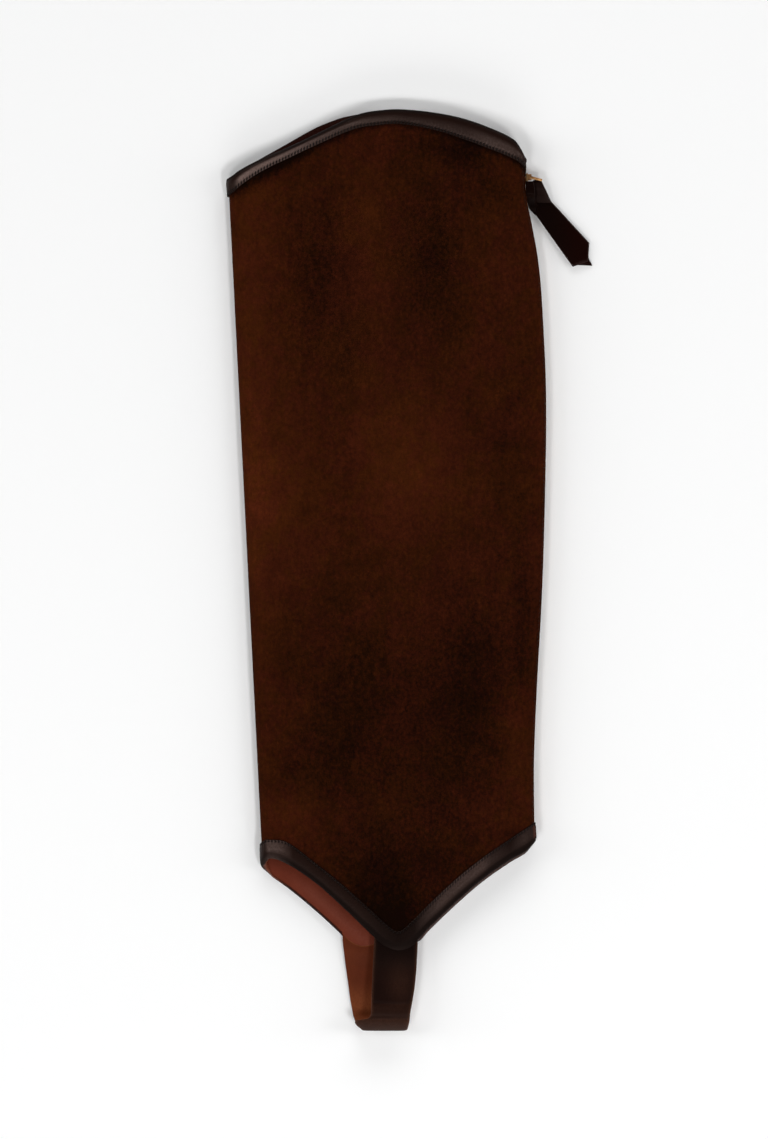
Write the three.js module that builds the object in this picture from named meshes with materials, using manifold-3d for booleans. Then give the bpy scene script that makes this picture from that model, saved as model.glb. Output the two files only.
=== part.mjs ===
// A leather gaiter (half chap) for one lower leg, lying flat on its side: suede outside, tan leather
// lining inside, bound edges, a strap that passes under the foot and a zip up the back of the calf.
// Millimetres. +Z is up, the top edge faces +Y, the shin fold -X and the zip +X. The near layer is the
// upper one, the far layer lies on the surface, and the origin is on the underside near the middle.
import * as THREE from "three";
import Module from "manifold-3d";
import { mergeVertices } from "three/addons/utils/BufferGeometryUtils.js";

const wasm = await Module();
wasm.setup();

// ---- Driving dimensions ------------------------------------------------------------------------
const GAP = 0.3; // between neighbouring pieces
const SUEDE = 1.4;
const LINING = 1.0;
const BINDING = 1.0;
const STRAP_PLY = 1.4;
const TAPE = 1.0;

const SHIN_RADIUS = 6.75; // fold at the front
const CALF_RADIUS = 8; // round the zip
const SAG = 0.7; // of the near layer, midway between its folds
const SLOT_ANGLE = 33; // degrees from the zip's own direction to each suede edge
const FADE = 9; // over which the far suede comes down from its bound edge to the surface

const INNER_LEAF = 8; // the top binding's turn inside
const LIP = 2.2; // the foot binding's rolled lip inside
const TUCK = 6; // of the strap's end under the foot binding
const CORNER = 0.8; // chamfer along a binding's rim
const MAX_STRETCH = 1.5; // most that a slanting edge lengthens an upright offset

const LEAF_DEPTH = BINDING + GAP; // the suede lies this far under a binding's face
const LINING_DEPTH = LEAF_DEPTH + SUEDE + GAP;
const FULL_DEPTH = LINING_DEPTH + LINING;

// ---- Outline -----------------------------------------------------------------------------------
const table = (names, rows) =>
  rows.map((row) => Object.fromEntries(names.map((name, i) => [name, row[i]])));

// The two folds, at each height.
const SHIN_LINE = { y: 235, x: -99.1, lean: 0.05 };
const CALF_LINE = table(["y", "x"], [
  [-240, 88.6],
  [-150, 88.3],
  [-113, 88.2],
  [-68, 90.0],
  [-13, 93.0],
  [46, 94.8],
  [105, 95.4],
  [160, 93.0],
  [186, 90.6],
  [210, 86.3],
  [222, 83.8],
  [235, 82.7],
  [250, 82.4],
]);

// The edges, by the part of the width that lies in front of a point: 0 at the shin, 1 at the calf.
const NEAR_TOP = table(["across", "edge", "band"], [
  [0.0, 235.0, 225.0],
  [0.05, 240.2, 228.2],
  [0.1, 245.0, 233.0],
  [0.2, 252.8, 243.5],
  [0.3, 261.2, 253.9],
  [0.4, 270.0, 261.5],
  [0.45, 273.6, 263.8],
  [0.5, 275.4, 265.2],
  [0.58, 276.3, 265.8],
  [0.7, 274.1, 262.6],
  [0.8, 270.1, 257.8],
  [0.9, 263.2, 250.9],
  [0.95, 258.4, 246.0],
  [0.975, 254.0, 242.8],
  [1.0, 246.0, 239.0],
]);
const FAR_TOP = table(["across", "edge"], [
  [0.0, 235.0],
  [0.1, 245.6],
  [0.2, 255.6],
  [0.3, 265.6],
  [0.35, 269.4],
  [0.4, 272.4],
  [0.5, 275.4],
  [0.58, 275.8],
  [0.7, 273.4],
  [0.8, 269.4],
  [0.9, 262.6],
  [0.95, 257.6],
  [0.975, 253.4],
  [1.0, 245.6],
]);
const NEAR_FOOT = table(["across", "edge", "band"], [
  [0.0, -175.5, -162.0],
  [0.04, -173.0, -161.7],
  [0.1, -176.6, -163.2],
  [0.2, -188.2, -175.8],
  [0.3, -203.6, -189.6],
  [0.4, -220.0, -205.0],
  [0.44, -225.4, -211.4],
  [0.49, -228.0, -216.8],
  [0.54, -225.6, -210.8],
  [0.6, -215.9, -201.0],
  [0.7, -200.3, -185.6],
  [0.8, -185.9, -172.4],
  [0.9, -173.8, -161.0],
  [0.96, -167.6, -154.4],
  [1.0, -161.0, -150.6],
]);
const FAR_FOOT = table(["across", "edge"], [
  [0.0, -176.5],
  [0.04, -183.2],
  [0.1, -191.6],
  [0.2, -206.2],
  [0.28, -219.0],
  [0.31, -224.6],
  [0.35, -228.0],
  [0.4, -227.0],
  [0.445, -221.6],
  [0.5, -215.2],
  [0.7, -195.0],
  [0.9, -173.0],
  [1.0, -161.0],
]);
const FAR_BAND = { top: 11.5, foot: 12.5 };

// The strap's sides where it leaves each V, and its way from one to the other round the foot.
const STRAP = {
  near: { left: -10.0, right: 15.9 },
  far: { left: -29.0, right: -3.6 },
};
const BEND = { y: -268, radius: 8.6, steps: 8 };
const STRAP_DOWN = table(["y", "z", "centre", "half"], [
  [-240, 13.6, 2.1, 13.0],
  [-250, 15.0, 1.4, 12.7],
  [-260, 16.5, 0.3, 12.2],
]);
const STRAP_BEND = table(["turn", "centre", "half"], [
  [0, -0.4, 11.8],
  [0.25, -2.0, 11.6],
  [0.5, -5.4, 11.3],
  [0.75, -9.0, 11.6],
  [1, -10.9, 11.9],
]);
const STRAP_UP = table(["y", "z", "centre", "half"], [
  [-258, 0, -12.3, 12.1],
  [-246, 0, -13.5, 12.5],
  [-237, 0.3, -14.6, 12.7],
]);

// ---- Colours -----------------------------------------------------------------------------------
const finish = (color, roughness, metalness = 0) =>
  new THREE.MeshStandardMaterial({ color, roughness, metalness });
const SUEDE_BROWN = finish(0x3a1a0b, 0.95);
const DARK_LEATHER = finish(0x241612, 0.45);
const TAN_LEATHER = finish(0x8a4a30, 0.6);
const TAPE_BROWN = finish(0x22150f, 0.9);
const BRASS = finish(0xb08850, 0.35, 0.9);

// ---- Helpers -----------------------------------------------------------------------------------
const { degToRad, lerp, clamp, smoothstep } = THREE.MathUtils;

// Evenly spaced values from one end to the other, both included.
const spread = (from, to, steps) =>
  Array.from({ length: steps + 1 }, (_, i) => lerp(from, to, i / steps));

// A smooth curve through two columns of a table, straight beyond its ends.
function curve(rows, key, value) {
  const slopes = rows.map((row, i) => {
    const before = rows[Math.max(i - 1, 0)];
    const after = rows[Math.min(i + 1, rows.length - 1)];
    return (after[value] - before[value]) / (after[key] - before[key]);
  });
  const last = rows.length - 1;
  return (at) => {
    if (at <= rows[0][key]) return rows[0][value] + slopes[0] * (at - rows[0][key]);
    if (at >= rows[last][key]) return rows[last][value] + slopes[last] * (at - rows[last][key]);
    const i = rows.findIndex((row) => row[key] > at) - 1;
    const span = rows[i + 1][key] - rows[i][key];
    const u = (at - rows[i][key]) / span;
    const ease = u * u * (3 - 2 * u);
    const leave = u * (1 - u) * (1 - u) * span * slopes[i];
    const arrive = u * u * (u - 1) * span * slopes[i + 1];
    return lerp(rows[i][value], rows[i + 1][value], ease) + leave + arrive;
  };
}

// A closed mesh from points and triangles, with its faces turned outwards.
function closedMesh(points, triangles) {
  const volume = triangles.reduce((sum, [a, b, c]) => {
    const normal = new THREE.Vector3().crossVectors(points[b], points[c]);
    return sum + points[a].dot(normal);
  }, 0);
  const outward = volume > 0 ? triangles : triangles.map(([a, b, c]) => [a, c, b]);
  const geometry = new THREE.BufferGeometry().setFromPoints(points);
  geometry.setIndex(outward.flat());
  return geometry;
}

// The closed wall between two grids of points: its two faces and the rim round them.
function wall(outer, inner) {
  const width = outer.length;
  const height = outer[0].length;
  const points = [...outer.flat(), ...inner.flat()];
  const triangles = [];
  const at = (layer, i, j) => (layer * width + i) * height + j;
  const quad = (a, b, c, d) => triangles.push([a, b, c], [a, c, d]);
  for (let i = 0; i < width - 1; i++) {
    for (let j = 0; j < height - 1; j++) {
      quad(at(0, i, j), at(0, i + 1, j), at(0, i + 1, j + 1), at(0, i, j + 1));
      quad(at(1, i, j), at(1, i, j + 1), at(1, i + 1, j + 1), at(1, i + 1, j));
    }
    const end = height - 1;
    quad(at(0, i, 0), at(1, i, 0), at(1, i + 1, 0), at(0, i + 1, 0));
    quad(at(0, i, end), at(0, i + 1, end), at(1, i + 1, end), at(1, i, end));
  }
  for (let j = 0; j < height - 1; j++) {
    const end = width - 1;
    quad(at(0, 0, j), at(0, 0, j + 1), at(1, 0, j + 1), at(1, 0, j));
    quad(at(0, end, j + 1), at(0, end, j), at(1, end, j), at(1, end, j + 1));
  }
  return closedMesh(points, triangles);
}

// The closed body through a row of sections of the same closed outline.
function loft(sections, outline) {
  const size = outline.length;
  const points = sections.flat();
  const cap = THREE.ShapeUtils.triangulateShape(outline, []);
  const end = (sections.length - 1) * size;
  const triangles = cap.map(([a, b, c]) => [a, b, c]);
  triangles.push(...cap.map(([a, b, c]) => [end + a, end + c, end + b]));
  const turned = THREE.ShapeUtils.isClockWise(outline);
  for (let i = 0; i < sections.length - 1; i++) {
    for (let j = 0; j < size; j++) {
      const next = (j + 1) % size;
      const [a, b] = [i * size + j, i * size + next];
      const [c, d] = [a + size, b + size];
      if (turned) triangles.push([a, b, d], [a, d, c]);
      else triangles.push([a, d, b], [a, c, d]);
    }
  }
  return closedMesh(points, triangles);
}

function toManifold(geometry) {
  const bare = new THREE.BufferGeometry();
  bare.setAttribute("position", geometry.getAttribute("position"));
  bare.setIndex(geometry.getIndex());
  const merged = mergeVertices(bare, 1e-4);
  const vertProperties = new Float32Array(merged.getAttribute("position").array);
  const triVerts = new Uint32Array(merged.getIndex().array);
  return new wasm.Manifold(new wasm.Mesh({ numProp: 3, vertProperties, triVerts }));
}

function fromManifold(manifold) {
  const mesh = manifold.getMesh();
  const geometry = new THREE.BufferGeometry();
  geometry.setAttribute("position", new THREE.BufferAttribute(mesh.vertProperties, 3));
  geometry.setIndex(new THREE.BufferAttribute(mesh.triVerts, 1));
  return geometry;
}

const join = (geometries) =>
  fromManifold(geometries.map(toManifold).reduce((whole, piece) => whole.add(piece)));
const cut = (geometry, tools) =>
  fromManifold(tools.map(toManifold).reduce((whole, tool) => whole.subtract(tool), toManifold(geometry)));

// A box between two corners.
function block(low, high) {
  const size = high.map((value, i) => value - low[i]);
  const centre = high.map((value, i) => (value + low[i]) / 2);
  return new THREE.BoxGeometry(...size).translate(...centre);
}

// ---- The wrap's own surface --------------------------------------------------------------------
// A point of the wrap is a column, a height and a depth under the bindings' outer face. A column has
// its place along a layer (run: 0 at the calf, 1 at the shin) and the way that it faces (angle: 90 on
// the near layer, 270 on the far one, and between these round the folds).
const calfLine = curve(CALF_LINE, "y", "x");
const shinLine = (y) => SHIN_LINE.x + (SHIN_LINE.y - y) * SHIN_LINE.lean;

function halfHeight(run) {
  const level = lerp(CALF_RADIUS, SHIN_RADIUS, smoothstep(run, 0, 1));
  return level - (SAG / 2) * Math.sin(Math.PI * run) ** 2;
}

const foldCentre = (run, y) => lerp(calfLine(y) - CALF_RADIUS, shinLine(y) + SHIN_RADIUS, run);
const runAt = (x, y) => (x - foldCentre(0, y)) / (foldCentre(1, y) - foldCentre(0, y));

function place(column, y, depth) {
  const half = halfHeight(column.run);
  const turn = degToRad(column.angle);
  const x = foldCentre(column.run, y) + (half - depth) * Math.cos(turn);
  return new THREE.Vector3(x, y, half + (half - depth) * Math.sin(turn));
}

const nearTop = curve(NEAR_TOP, "across", "edge");
const nearTopBand = curve(NEAR_TOP, "across", "band");
const farTop = curve(FAR_TOP, "across", "edge");
const nearFoot = curve(NEAR_FOOT, "across", "edge");
const nearFootBand = curve(NEAR_FOOT, "across", "band");
const farFoot = curve(FAR_FOOT, "across", "edge");
const farTopBand = (across) => farTop(across) - FAR_BAND.top;
const farFootBand = (across) => farFoot(across) + FAR_BAND.foot;

// The height at which a column meets an edge that both layers have.
function edgeHeight(near, far, column) {
  let y = near(0.5);
  for (let pass = 0; pass < 5; pass++) {
    const x = place(column, y, 0).x;
    const across = (x - shinLine(y)) / (calfLine(y) - shinLine(y));
    y = lerp(near(across), far(across), column.far);
  }
  return y;
}

// Places along one layer, closer together where the strap's end passes under the binding.
const SIDE_STEPS = 5;
const STRAP_STEPS = 4;
const BESIDE_STRAP = 0.027;
function layerRuns({ left, right }) {
  const y = nearFoot(0.5);
  const calfSide = runAt(right + GAP, y);
  const shinSide = runAt(left - GAP, y);
  return {
    strap: [calfSide, shinSide],
    runs: [
      ...spread(0, calfSide - BESIDE_STRAP, SIDE_STEPS),
      ...spread(calfSide, shinSide, STRAP_STEPS),
      ...spread(shinSide + BESIDE_STRAP, 1, SIDE_STEPS),
    ],
  };
}

function layerColumns(side, angle, far) {
  const { strap, runs } = layerRuns(side);
  const inStrap = (run) => run > strap[0] - 1e-6 && run < strap[1] + 1e-6;
  return runs.map((run) => ({ run, angle, far, tip: inStrap(run) }));
}

const ARC_STEPS = 3;
const FOLD_STEPS = 8;
const foldColumns = (run, from, to, steps, far) =>
  spread(from, to, steps)
    .slice(1, -1)
    .map((angle) => ({ run, angle, far: far(angle), tip: false }));

// All columns, from the near zip edge over the near layer, round the shin and back along the far one.
const ZIP_EDGES = {
  near: { run: 0, angle: SLOT_ANGLE, far: 0, tip: false },
  far: { run: 0, angle: 360 - SLOT_ANGLE, far: 1, tip: false },
};
const columns = [
  ZIP_EDGES.near,
  ...foldColumns(0, SLOT_ANGLE, 90, ARC_STEPS, () => 0),
  ...layerColumns(STRAP.near, 90, 0),
  ...foldColumns(1, 90, 270, FOLD_STEPS, (angle) => (angle - 90) / 180),
  ...layerColumns(STRAP.far, 270, 1).reverse(),
  ...foldColumns(0, 270, 360 - SLOT_ANGLE, ARC_STEPS, () => 1),
  ZIP_EDGES.far,
];

for (const column of columns) {
  column.rest = smoothstep(-Math.sin(degToRad(column.angle)), 0.6, 1);
  column.top = edgeHeight(nearTop, farTop, column);
  column.topBand = edgeHeight(nearTopBand, farTopBand, column);
  column.foot = edgeHeight(nearFoot, farFoot, column);
  column.footBand = edgeHeight(nearFootBand, farFootBand, column);
}

// How much longer an upright offset is than the same one square to a slanting edge.
function stretch(index, edge) {
  const before = columns[Math.max(index - 1, 0)];
  const after = columns[Math.min(index + 1, columns.length - 1)];
  const step = place(after, after[edge], 0).sub(place(before, before[edge], 0));
  return clamp(step.length() / Math.hypot(step.x, step.z), 1, MAX_STRETCH);
}
columns.forEach((column, i) => {
  column.topStretch = stretch(i, "top");
  column.footStretch = stretch(i, "foot");
});

// The suede's outer face: under the bindings' face, but down on the surface along the far layer.
function recess(column, y) {
  const fromFoot = clamp((y - column.footBand) / FADE, 0, 1);
  const fromTop = clamp((column.topBand - y) / FADE, 0, 1);
  return LEAF_DEPTH * (1 - column.rest * Math.min(fromFoot, fromTop));
}

// ---- Panels ------------------------------------------------------------------------------------
const BODY_STEPS = 11;
const SEAM_STEP = 0.5;

function panelHeights(column, low, high) {
  return [
    low,
    column.footBand,
    ...spread(column.footBand + FADE, column.topBand - FADE, BODY_STEPS),
    Math.min(column.topBand, high - SEAM_STEP),
    high,
  ];
}

function panel(pieceColumns, ends, depth, thickness) {
  const face = (extra) =>
    pieceColumns.map((column) => {
      const [low, high] = ends(column);
      return panelHeights(column, low, high).map((y) =>
        place(column, y, recess(column, y) + depth + extra));
    });
  return wall(face(0), face(thickness));
}

// The suede is one piece from zip edge to zip edge. Its edges stop inside the bindings, and it is cut
// back where the strap's ends are tucked in.
function suedeBody() {
  const ends = (column) => [
    column.foot + (column.tip ? TUCK + 3 * GAP : (BINDING + 2 * GAP) * column.footStretch),
    column.top - (BINDING + 2 * GAP) * column.topStretch,
  ];
  return panel(columns, ends, 0, SUEDE);
}

// The lining meets the top binding's inner leaf, the foot binding's lip and the two zip tapes.
function liningBody() {
  const flat = (column) => column.angle === 90 || column.angle === 270;
  const between = columns.filter((column) => flat(column) || column.run > 0);
  const ends = (column) => [
    column.foot + LIP + (column.tip ? 2 : 3) * GAP,
    column.top - INNER_LEAF - 2 * GAP,
  ];
  return panel(between, ends, SUEDE + GAP, LINING);
}

// ---- Bindings ----------------------------------------------------------------------------------
// A binding is a channel over an edge: outer leaf, rim and inner leaf, open towards the suede. `sign`
// is 1 where the edge is the upper one.
function channel(edge, band, stretched, inner, sign) {
  const outline = (column) => {
    const rim = column[edge];
    const back = sign * column[stretched];
    const turn = rim - sign * inner;
    return [
      [column[band], 0],
      [rim - CORNER * back, 0],
      [rim, CORNER],
      [rim, FULL_DEPTH - CORNER],
      [rim - CORNER * back, FULL_DEPTH],
      [turn, FULL_DEPTH],
      [turn, LINING_DEPTH],
      [rim - BINDING * back, LINING_DEPTH],
      [rim - BINDING * back, BINDING],
      [column[band], BINDING],
    ];
  };
  const sections = columns.map((column) => outline(column).map(([y, depth]) => place(column, y, depth)));
  const flat = outline(columns[0]).map(([y, depth]) => new THREE.Vector2(y, depth));
  return loft(sections, flat);
}

// The way that is left for a strap end through the foot binding's rim and lip.
function strapWay({ left, right }, far) {
  const xs = spread(left - 2 * GAP, right + 2 * GAP, STRAP_STEPS);
  const face = (depth) =>
    xs.map((x) => {
      const y = edgeHeight(nearFoot, farFoot, { run: runAt(x, nearFoot(0.5)), angle: far ? 270 : 90, far });
      return [y - LIP, y + 2 * LIP].map((height) => layerPoint(x, height, far, depth));
    });
  return wall(face(BINDING + GAP / 3), face(FULL_DEPTH + GAP));
}

// A point of the near or far layer at a given x.
function layerPoint(x, y, far, depth) {
  const height = 2 * halfHeight(runAt(x, y));
  return new THREE.Vector3(x, y, far ? depth : height - depth);
}

const topBinding = () => channel("top", "topBand", "topStretch", INNER_LEAF, 1);
const footBinding = () =>
  cut(channel("foot", "footBand", "footStretch", LIP, -1), [
    strapWay(STRAP.near, 0),
    strapWay(STRAP.far, 1),
  ]);

// ---- Strap under the foot ----------------------------------------------------------------------
const strapCentre = curve(STRAP_BEND, "turn", "centre");
const strapHalf = curve(STRAP_BEND, "turn", "half");

// One lengthwise line of the strap's outer face; `side` is -1 at its left edge and 1 at its right.
function strapLine(side, tuck) {
  const end = ({ left, right }, far) => {
    const x = (left + right) / 2 + (side * (right - left)) / 2;
    const column = { run: runAt(x, nearFoot(0.5)), angle: far ? 270 : 90, far };
    const foot = edgeHeight(nearFoot, farFoot, column);
    return [foot + tuck, foot - LIP].map((y) => layerPoint(x, y, far, LEAF_DEPTH));
  };
  const along = ({ y, z, centre, half }) => new THREE.Vector3(centre + side * half, y, z);
  const bend = spread(0, 1, BEND.steps).map((turn) => {
    const angle = Math.PI * turn;
    return new THREE.Vector3(
      strapCentre(turn) + side * strapHalf(turn),
      BEND.y - BEND.radius * Math.sin(angle),
      BEND.radius * (1 + Math.cos(angle)),
    );
  });
  return [
    ...end(STRAP.near, 0),
    ...STRAP_DOWN.map(along),
    ...bend,
    ...STRAP_UP.map(along),
    ...end(STRAP.far, 1).reverse(),
  ];
}

// The same line moved towards the inside of the loop.
function inward(line, depth) {
  return line.map((point, i) => {
    const before = line[Math.max(i - 1, 0)];
    const after = line[Math.min(i + 1, line.length - 1)];
    const length = Math.hypot(after.y - before.y, after.z - before.z);
    const y = point.y - (depth * (after.z - before.z)) / length;
    const z = point.z + (depth * (after.y - before.y)) / length;
    return new THREE.Vector3(point.x, y, z);
  });
}

function strapPly(tuck, depth, thickness) {
  const lines = spread(-1, 1, STRAP_STEPS).map((side) => strapLine(side, tuck));
  return wall(
    lines.map((line) => inward(line, depth)),
    lines.map((line) => inward(line, depth + thickness)),
  );
}

// ---- Zip ---------------------------------------------------------------------------------------
// Zip pieces are laid out from the calf fold's centre: `out` along +X, `side` along +Z.
const TAPE_OUT = 3.7; // outer face of the tape's flat part
const TAPE_EDGE = 1.1; // from the zip's middle to each tape's edge
const CHAIN = { out: [4.0, 5.3], half: 2.3 };
const ZIP_FOOT = -157;
const ZIP_TOP = 236.5;
const CHAIN_TOP = 231;
const zipCentre = (y, out, side) =>
  new THREE.Vector3(foldCentre(0, y) + out, y, CALF_RADIUS + side);

const zipEdgeHeights = (top) => {
  const column = ZIP_EDGES.near;
  const body = spread(column.footBand + FADE, column.topBand - FADE, BODY_STEPS);
  return [ZIP_FOOT, column.footBand, ...body.filter((y) => y < top - 2), top];
};

// A tape: flat under the teeth, then round inside the suede.
function zipTape(sign) {
  const faceAt = (out, radius) => {
    const bend = Math.acos(out / radius);
    const flat = [[out, TAPE_EDGE], [out, radius * Math.sin(bend)]];
    const round = [52, 66, 80].map((angle) => {
      const turn = degToRad(angle);
      return [radius * Math.cos(turn), radius * Math.sin(turn)];
    });
    return [...flat, ...round].map(([x, side]) =>
      zipEdgeHeights(ZIP_TOP).map((y) => zipCentre(y, x, sign * side)));
  };
  const radius = CALF_RADIUS - LINING_DEPTH;
  return wall(faceAt(TAPE_OUT, radius), faceAt(TAPE_OUT - TAPE, radius - TAPE));
}

// The closed teeth, as one strip of their reach.
function zipChain() {
  const faceAt = (out) =>
    [-CHAIN.half, CHAIN.half].map((side) => zipEdgeHeights(CHAIN_TOP).map((y) => zipCentre(y, out, side)));
  return wall(faceAt(CHAIN.out[1]), faceAt(CHAIN.out[0]));
}

// The slider: two plates joined by a post above the teeth, with a bridge that carries the pull.
const SLIDER = { y: [228.5, 238], plate: 1.2, outer: 6.3, inner: 2.3, halfOuter: 3.2, halfInner: 2.4 };
const POST_SHORT = 2; // the post ends this far under the plates' upper end
const BRIDGE = { y: [234.0, 237.6], out: 2.2, half: 0.9, hole: 0.6 };
const PIVOT = { y: 235.8, out: SLIDER.outer + SLIDER.plate + 1.1 };
const pivotPoint = zipCentre(PIVOT.y, PIVOT.out, 0);

function slider() {
  const [low, high] = SLIDER.y;
  const origin = foldCentre(0, PIVOT.y);
  const part = (out, y, half) =>
    block([origin + out[0], y[0], CALF_RADIUS - half], [origin + out[1], y[1], CALF_RADIUS + half]);
  const face = SLIDER.outer + SLIDER.plate;
  const bodyParts = [
    part([SLIDER.outer, face], [low, high], SLIDER.halfOuter),
    part([SLIDER.inner - SLIDER.plate, SLIDER.inner], [low, high], SLIDER.halfInner),
    part(
      [SLIDER.inner - SLIDER.plate / 2, SLIDER.outer + SLIDER.plate / 2],
      [CHAIN_TOP + GAP, high - POST_SHORT],
      TAPE_EDGE - 2 * GAP,
    ),
    part([face - SLIDER.plate / 2, face + BRIDGE.out], BRIDGE.y, BRIDGE.half),
  ];
  const hole = part(
    [PIVOT.out - BRIDGE.hole, PIVOT.out + BRIDGE.hole],
    [PIVOT.y - BRIDGE.hole, PIVOT.y + BRIDGE.hole],
    2 * BRIDGE.half,
  );
  return cut(join(bodyParts), [hole]);
}

// ---- Pull: a brass bar pinned through the bridge, and the leather tab that hangs from it ---------
const PULL_LEAN = degToRad(-14); // the bar's way out from the zip
const BAR = { radius: 0.8, from: 2.6, root: 3.3, to: 7.6 };
const PIN_RADIUS = 0.4;
const CHEEK = { side: [1.2, 2.0], radius: 0.7 };

function puller() {
  const { radius, side } = CHEEK;
  const pin = new THREE.CylinderGeometry(PIN_RADIUS, PIN_RADIUS, side[0] + side[1], 12);
  const cheeks = [
    block([-radius, -radius, side[0]], [BAR.root, radius, side[1]]),
    block([-radius, -radius, -side[1]], [BAR.root, radius, -side[0]]),
  ];
  const yoke = block([BAR.from, -radius, -side[1]], [BAR.root, radius, side[1]]);
  const bar = new THREE.CylinderGeometry(BAR.radius, BAR.radius, BAR.to - BAR.from, 12)
    .rotateZ(Math.PI / 2)
    .translate((BAR.from + BAR.to) / 2, 0, 0);
  const whole = join([pin.rotateX(Math.PI / 2), ...cheeks, yoke, bar]);
  return whole.rotateZ(PULL_LEAN).translate(...pivotPoint.toArray());
}

// The loop: a strip over the bar, wider at its lower end. Rows run from the upper ply's end, over the
// bar and back to the lower ply's end; `down` is the part of the way to the lower end.
const TAB_PLY = 1.4;
const LOOP = { left: [87.0, 234.8], right: [91.0, 233.8], leftEnd: [87.0, 220.8], rightEnd: [96.2, 221.6] };
const BAR_CLEAR = BAR.radius + GAP;
const LOOP_UPPER = table(["down", "z"], [
  [1.0, 5.0],
  [0.7, 6.2],
  [0.4, 8.2],
]);
const LOOP_LOWER = table(["down", "z"], [
  [0.3, 4.4],
  [0.55, 2.8],
  [0.72, 2.0],
]);
const LOOP_TURNS = 6;

function pullLoop() {
  const edge = (start, end) => {
    const at = (down, z) => new THREE.Vector3(lerp(start[0], end[0], down), lerp(start[1], end[1], down), z);
    const over = spread(0, 1, LOOP_TURNS).map((turn) => {
      const angle = Math.PI * turn;
      const radius = BAR_CLEAR + TAB_PLY;
      return new THREE.Vector3(
        start[0],
        start[1] + radius * Math.sin(angle),
        pivotPoint.z + radius * Math.cos(angle),
      );
    });
    return [
      ...LOOP_UPPER.map(({ down, z }) => at(down, z)),
      ...over,
      ...LOOP_LOWER.map(({ down, z }) => at(down, z)),
    ];
  };
  const outer = [edge(LOOP.left, LOOP.leftEnd), edge(LOOP.right, LOOP.rightEnd)];
  const inner = outer.map((line) => inward([...line].reverse(), TAB_PLY).reverse());
  return wall(outer, inner);
}

// The tab's tail: two plies with a pointed end, on the surface.
const TAIL_TOP = 220.4;
const TAIL = table(["x", "y"], [
  [87.7, 213.4],
  [87.3, TAIL_TOP - 1],
  [95.6, TAIL_TOP],
  [119.2, 196.6],
  [118.4, 185.6],
  [109.3, 182.4],
]);
const TAIL_UNDER = table(["x", "y"], [
  [89.2, 213.4],
  [89.4, TAIL_TOP - 2],
  [94.8, TAIL_TOP - 1],
  [118.6, 196.2],
  [118.8, 187.6],
  [121.2, 183.0],
  [110.6, 183.6],
]);
// The strip's turn behind the loop, beside the gaiter.
const WRAP_PLY = 3.2;
const WRAP = table(["x", "y"], [
  [82.9, 232.4],
  [82.9, 218.6],
  [84.2, 214.2],
  [87.2, 213.0],
  [86.7, 220.0],
  [85.3, 232.0],
]);
const LIFT = 0.2; // of the lowest ply over the surface

function plate(outline, z, height) {
  const shape = new THREE.Shape(outline.map(({ x, y }) => new THREE.Vector2(x, y)));
  return new THREE.ExtrudeGeometry(shape, { depth: height, bevelEnabled: false }).translate(0, 0, z);
}

// ---- The object --------------------------------------------------------------------------------
const gaiter = new THREE.Group();
function add(name, geometry, material) {
  const mesh = new THREE.Mesh(geometry, material);
  mesh.name = name;
  gaiter.add(mesh);
}

add("suede_body", suedeBody(), SUEDE_BROWN);
add("lining", liningBody(), TAN_LEATHER);
add("top_binding", topBinding(), DARK_LEATHER);
add("foot_binding", footBinding(), DARK_LEATHER);
add("strap", strapPly(TUCK, 0, STRAP_PLY), DARK_LEATHER);
add("strap_lining", strapPly(LIP, STRAP_PLY + GAP, LINING), TAN_LEATHER);
add("zip_tape_near", zipTape(1), TAPE_BROWN);
add("zip_tape_far", zipTape(-1), TAPE_BROWN);
add("zip_chain", zipChain(), BRASS);
add("slider", slider(), BRASS);
add("puller", puller(), BRASS);
add("pull_loop", pullLoop(), DARK_LEATHER);
add("pull_wrap", plate(WRAP, LIFT, WRAP_PLY), DARK_LEATHER);
add("pull_tail", plate(TAIL, LIFT + TAB_PLY + GAP, TAB_PLY), DARK_LEATHER);
add("pull_tail_under", plate(TAIL_UNDER, LIFT, TAB_PLY), DARK_LEATHER);

export default gaiter;
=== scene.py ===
"""A suede half chap laid flat on its side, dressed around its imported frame.

Sizes are in millimetres until a mesh is made. +Y is the top edge, -X the shin fold, +X the zip up
the calf. The near layer is the upper one and the far layer lies on the surface.
"""

import math

import bmesh
import bpy
import numpy as np
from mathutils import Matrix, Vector


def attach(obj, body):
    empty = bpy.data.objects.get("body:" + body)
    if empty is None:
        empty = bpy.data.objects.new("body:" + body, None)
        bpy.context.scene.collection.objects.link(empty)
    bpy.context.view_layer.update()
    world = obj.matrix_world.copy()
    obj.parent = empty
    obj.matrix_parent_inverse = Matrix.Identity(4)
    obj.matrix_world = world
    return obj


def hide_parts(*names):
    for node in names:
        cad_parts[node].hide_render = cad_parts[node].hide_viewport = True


MM = 0.001

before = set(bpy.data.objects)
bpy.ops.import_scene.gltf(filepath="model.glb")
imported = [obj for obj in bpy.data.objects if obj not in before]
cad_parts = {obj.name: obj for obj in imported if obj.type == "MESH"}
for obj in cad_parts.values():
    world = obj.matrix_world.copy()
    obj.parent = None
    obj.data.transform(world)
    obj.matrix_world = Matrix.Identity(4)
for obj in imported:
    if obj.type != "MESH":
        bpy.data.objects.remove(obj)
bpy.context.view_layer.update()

# ---- Sizes ---------------------------------------------------------------------------------------
# Thicknesses, and how far under a binding's face the suede and the lining lie.
SUEDE, LINING, BINDING = 1.4, 0.75, 1.0
STRAP_PLY, STRAP_LINING, PLY_GAP = 1.4, 1.0, 0.05
LEAF_DEPTH, LINING_DEPTH = 1.3, 3.0

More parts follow.
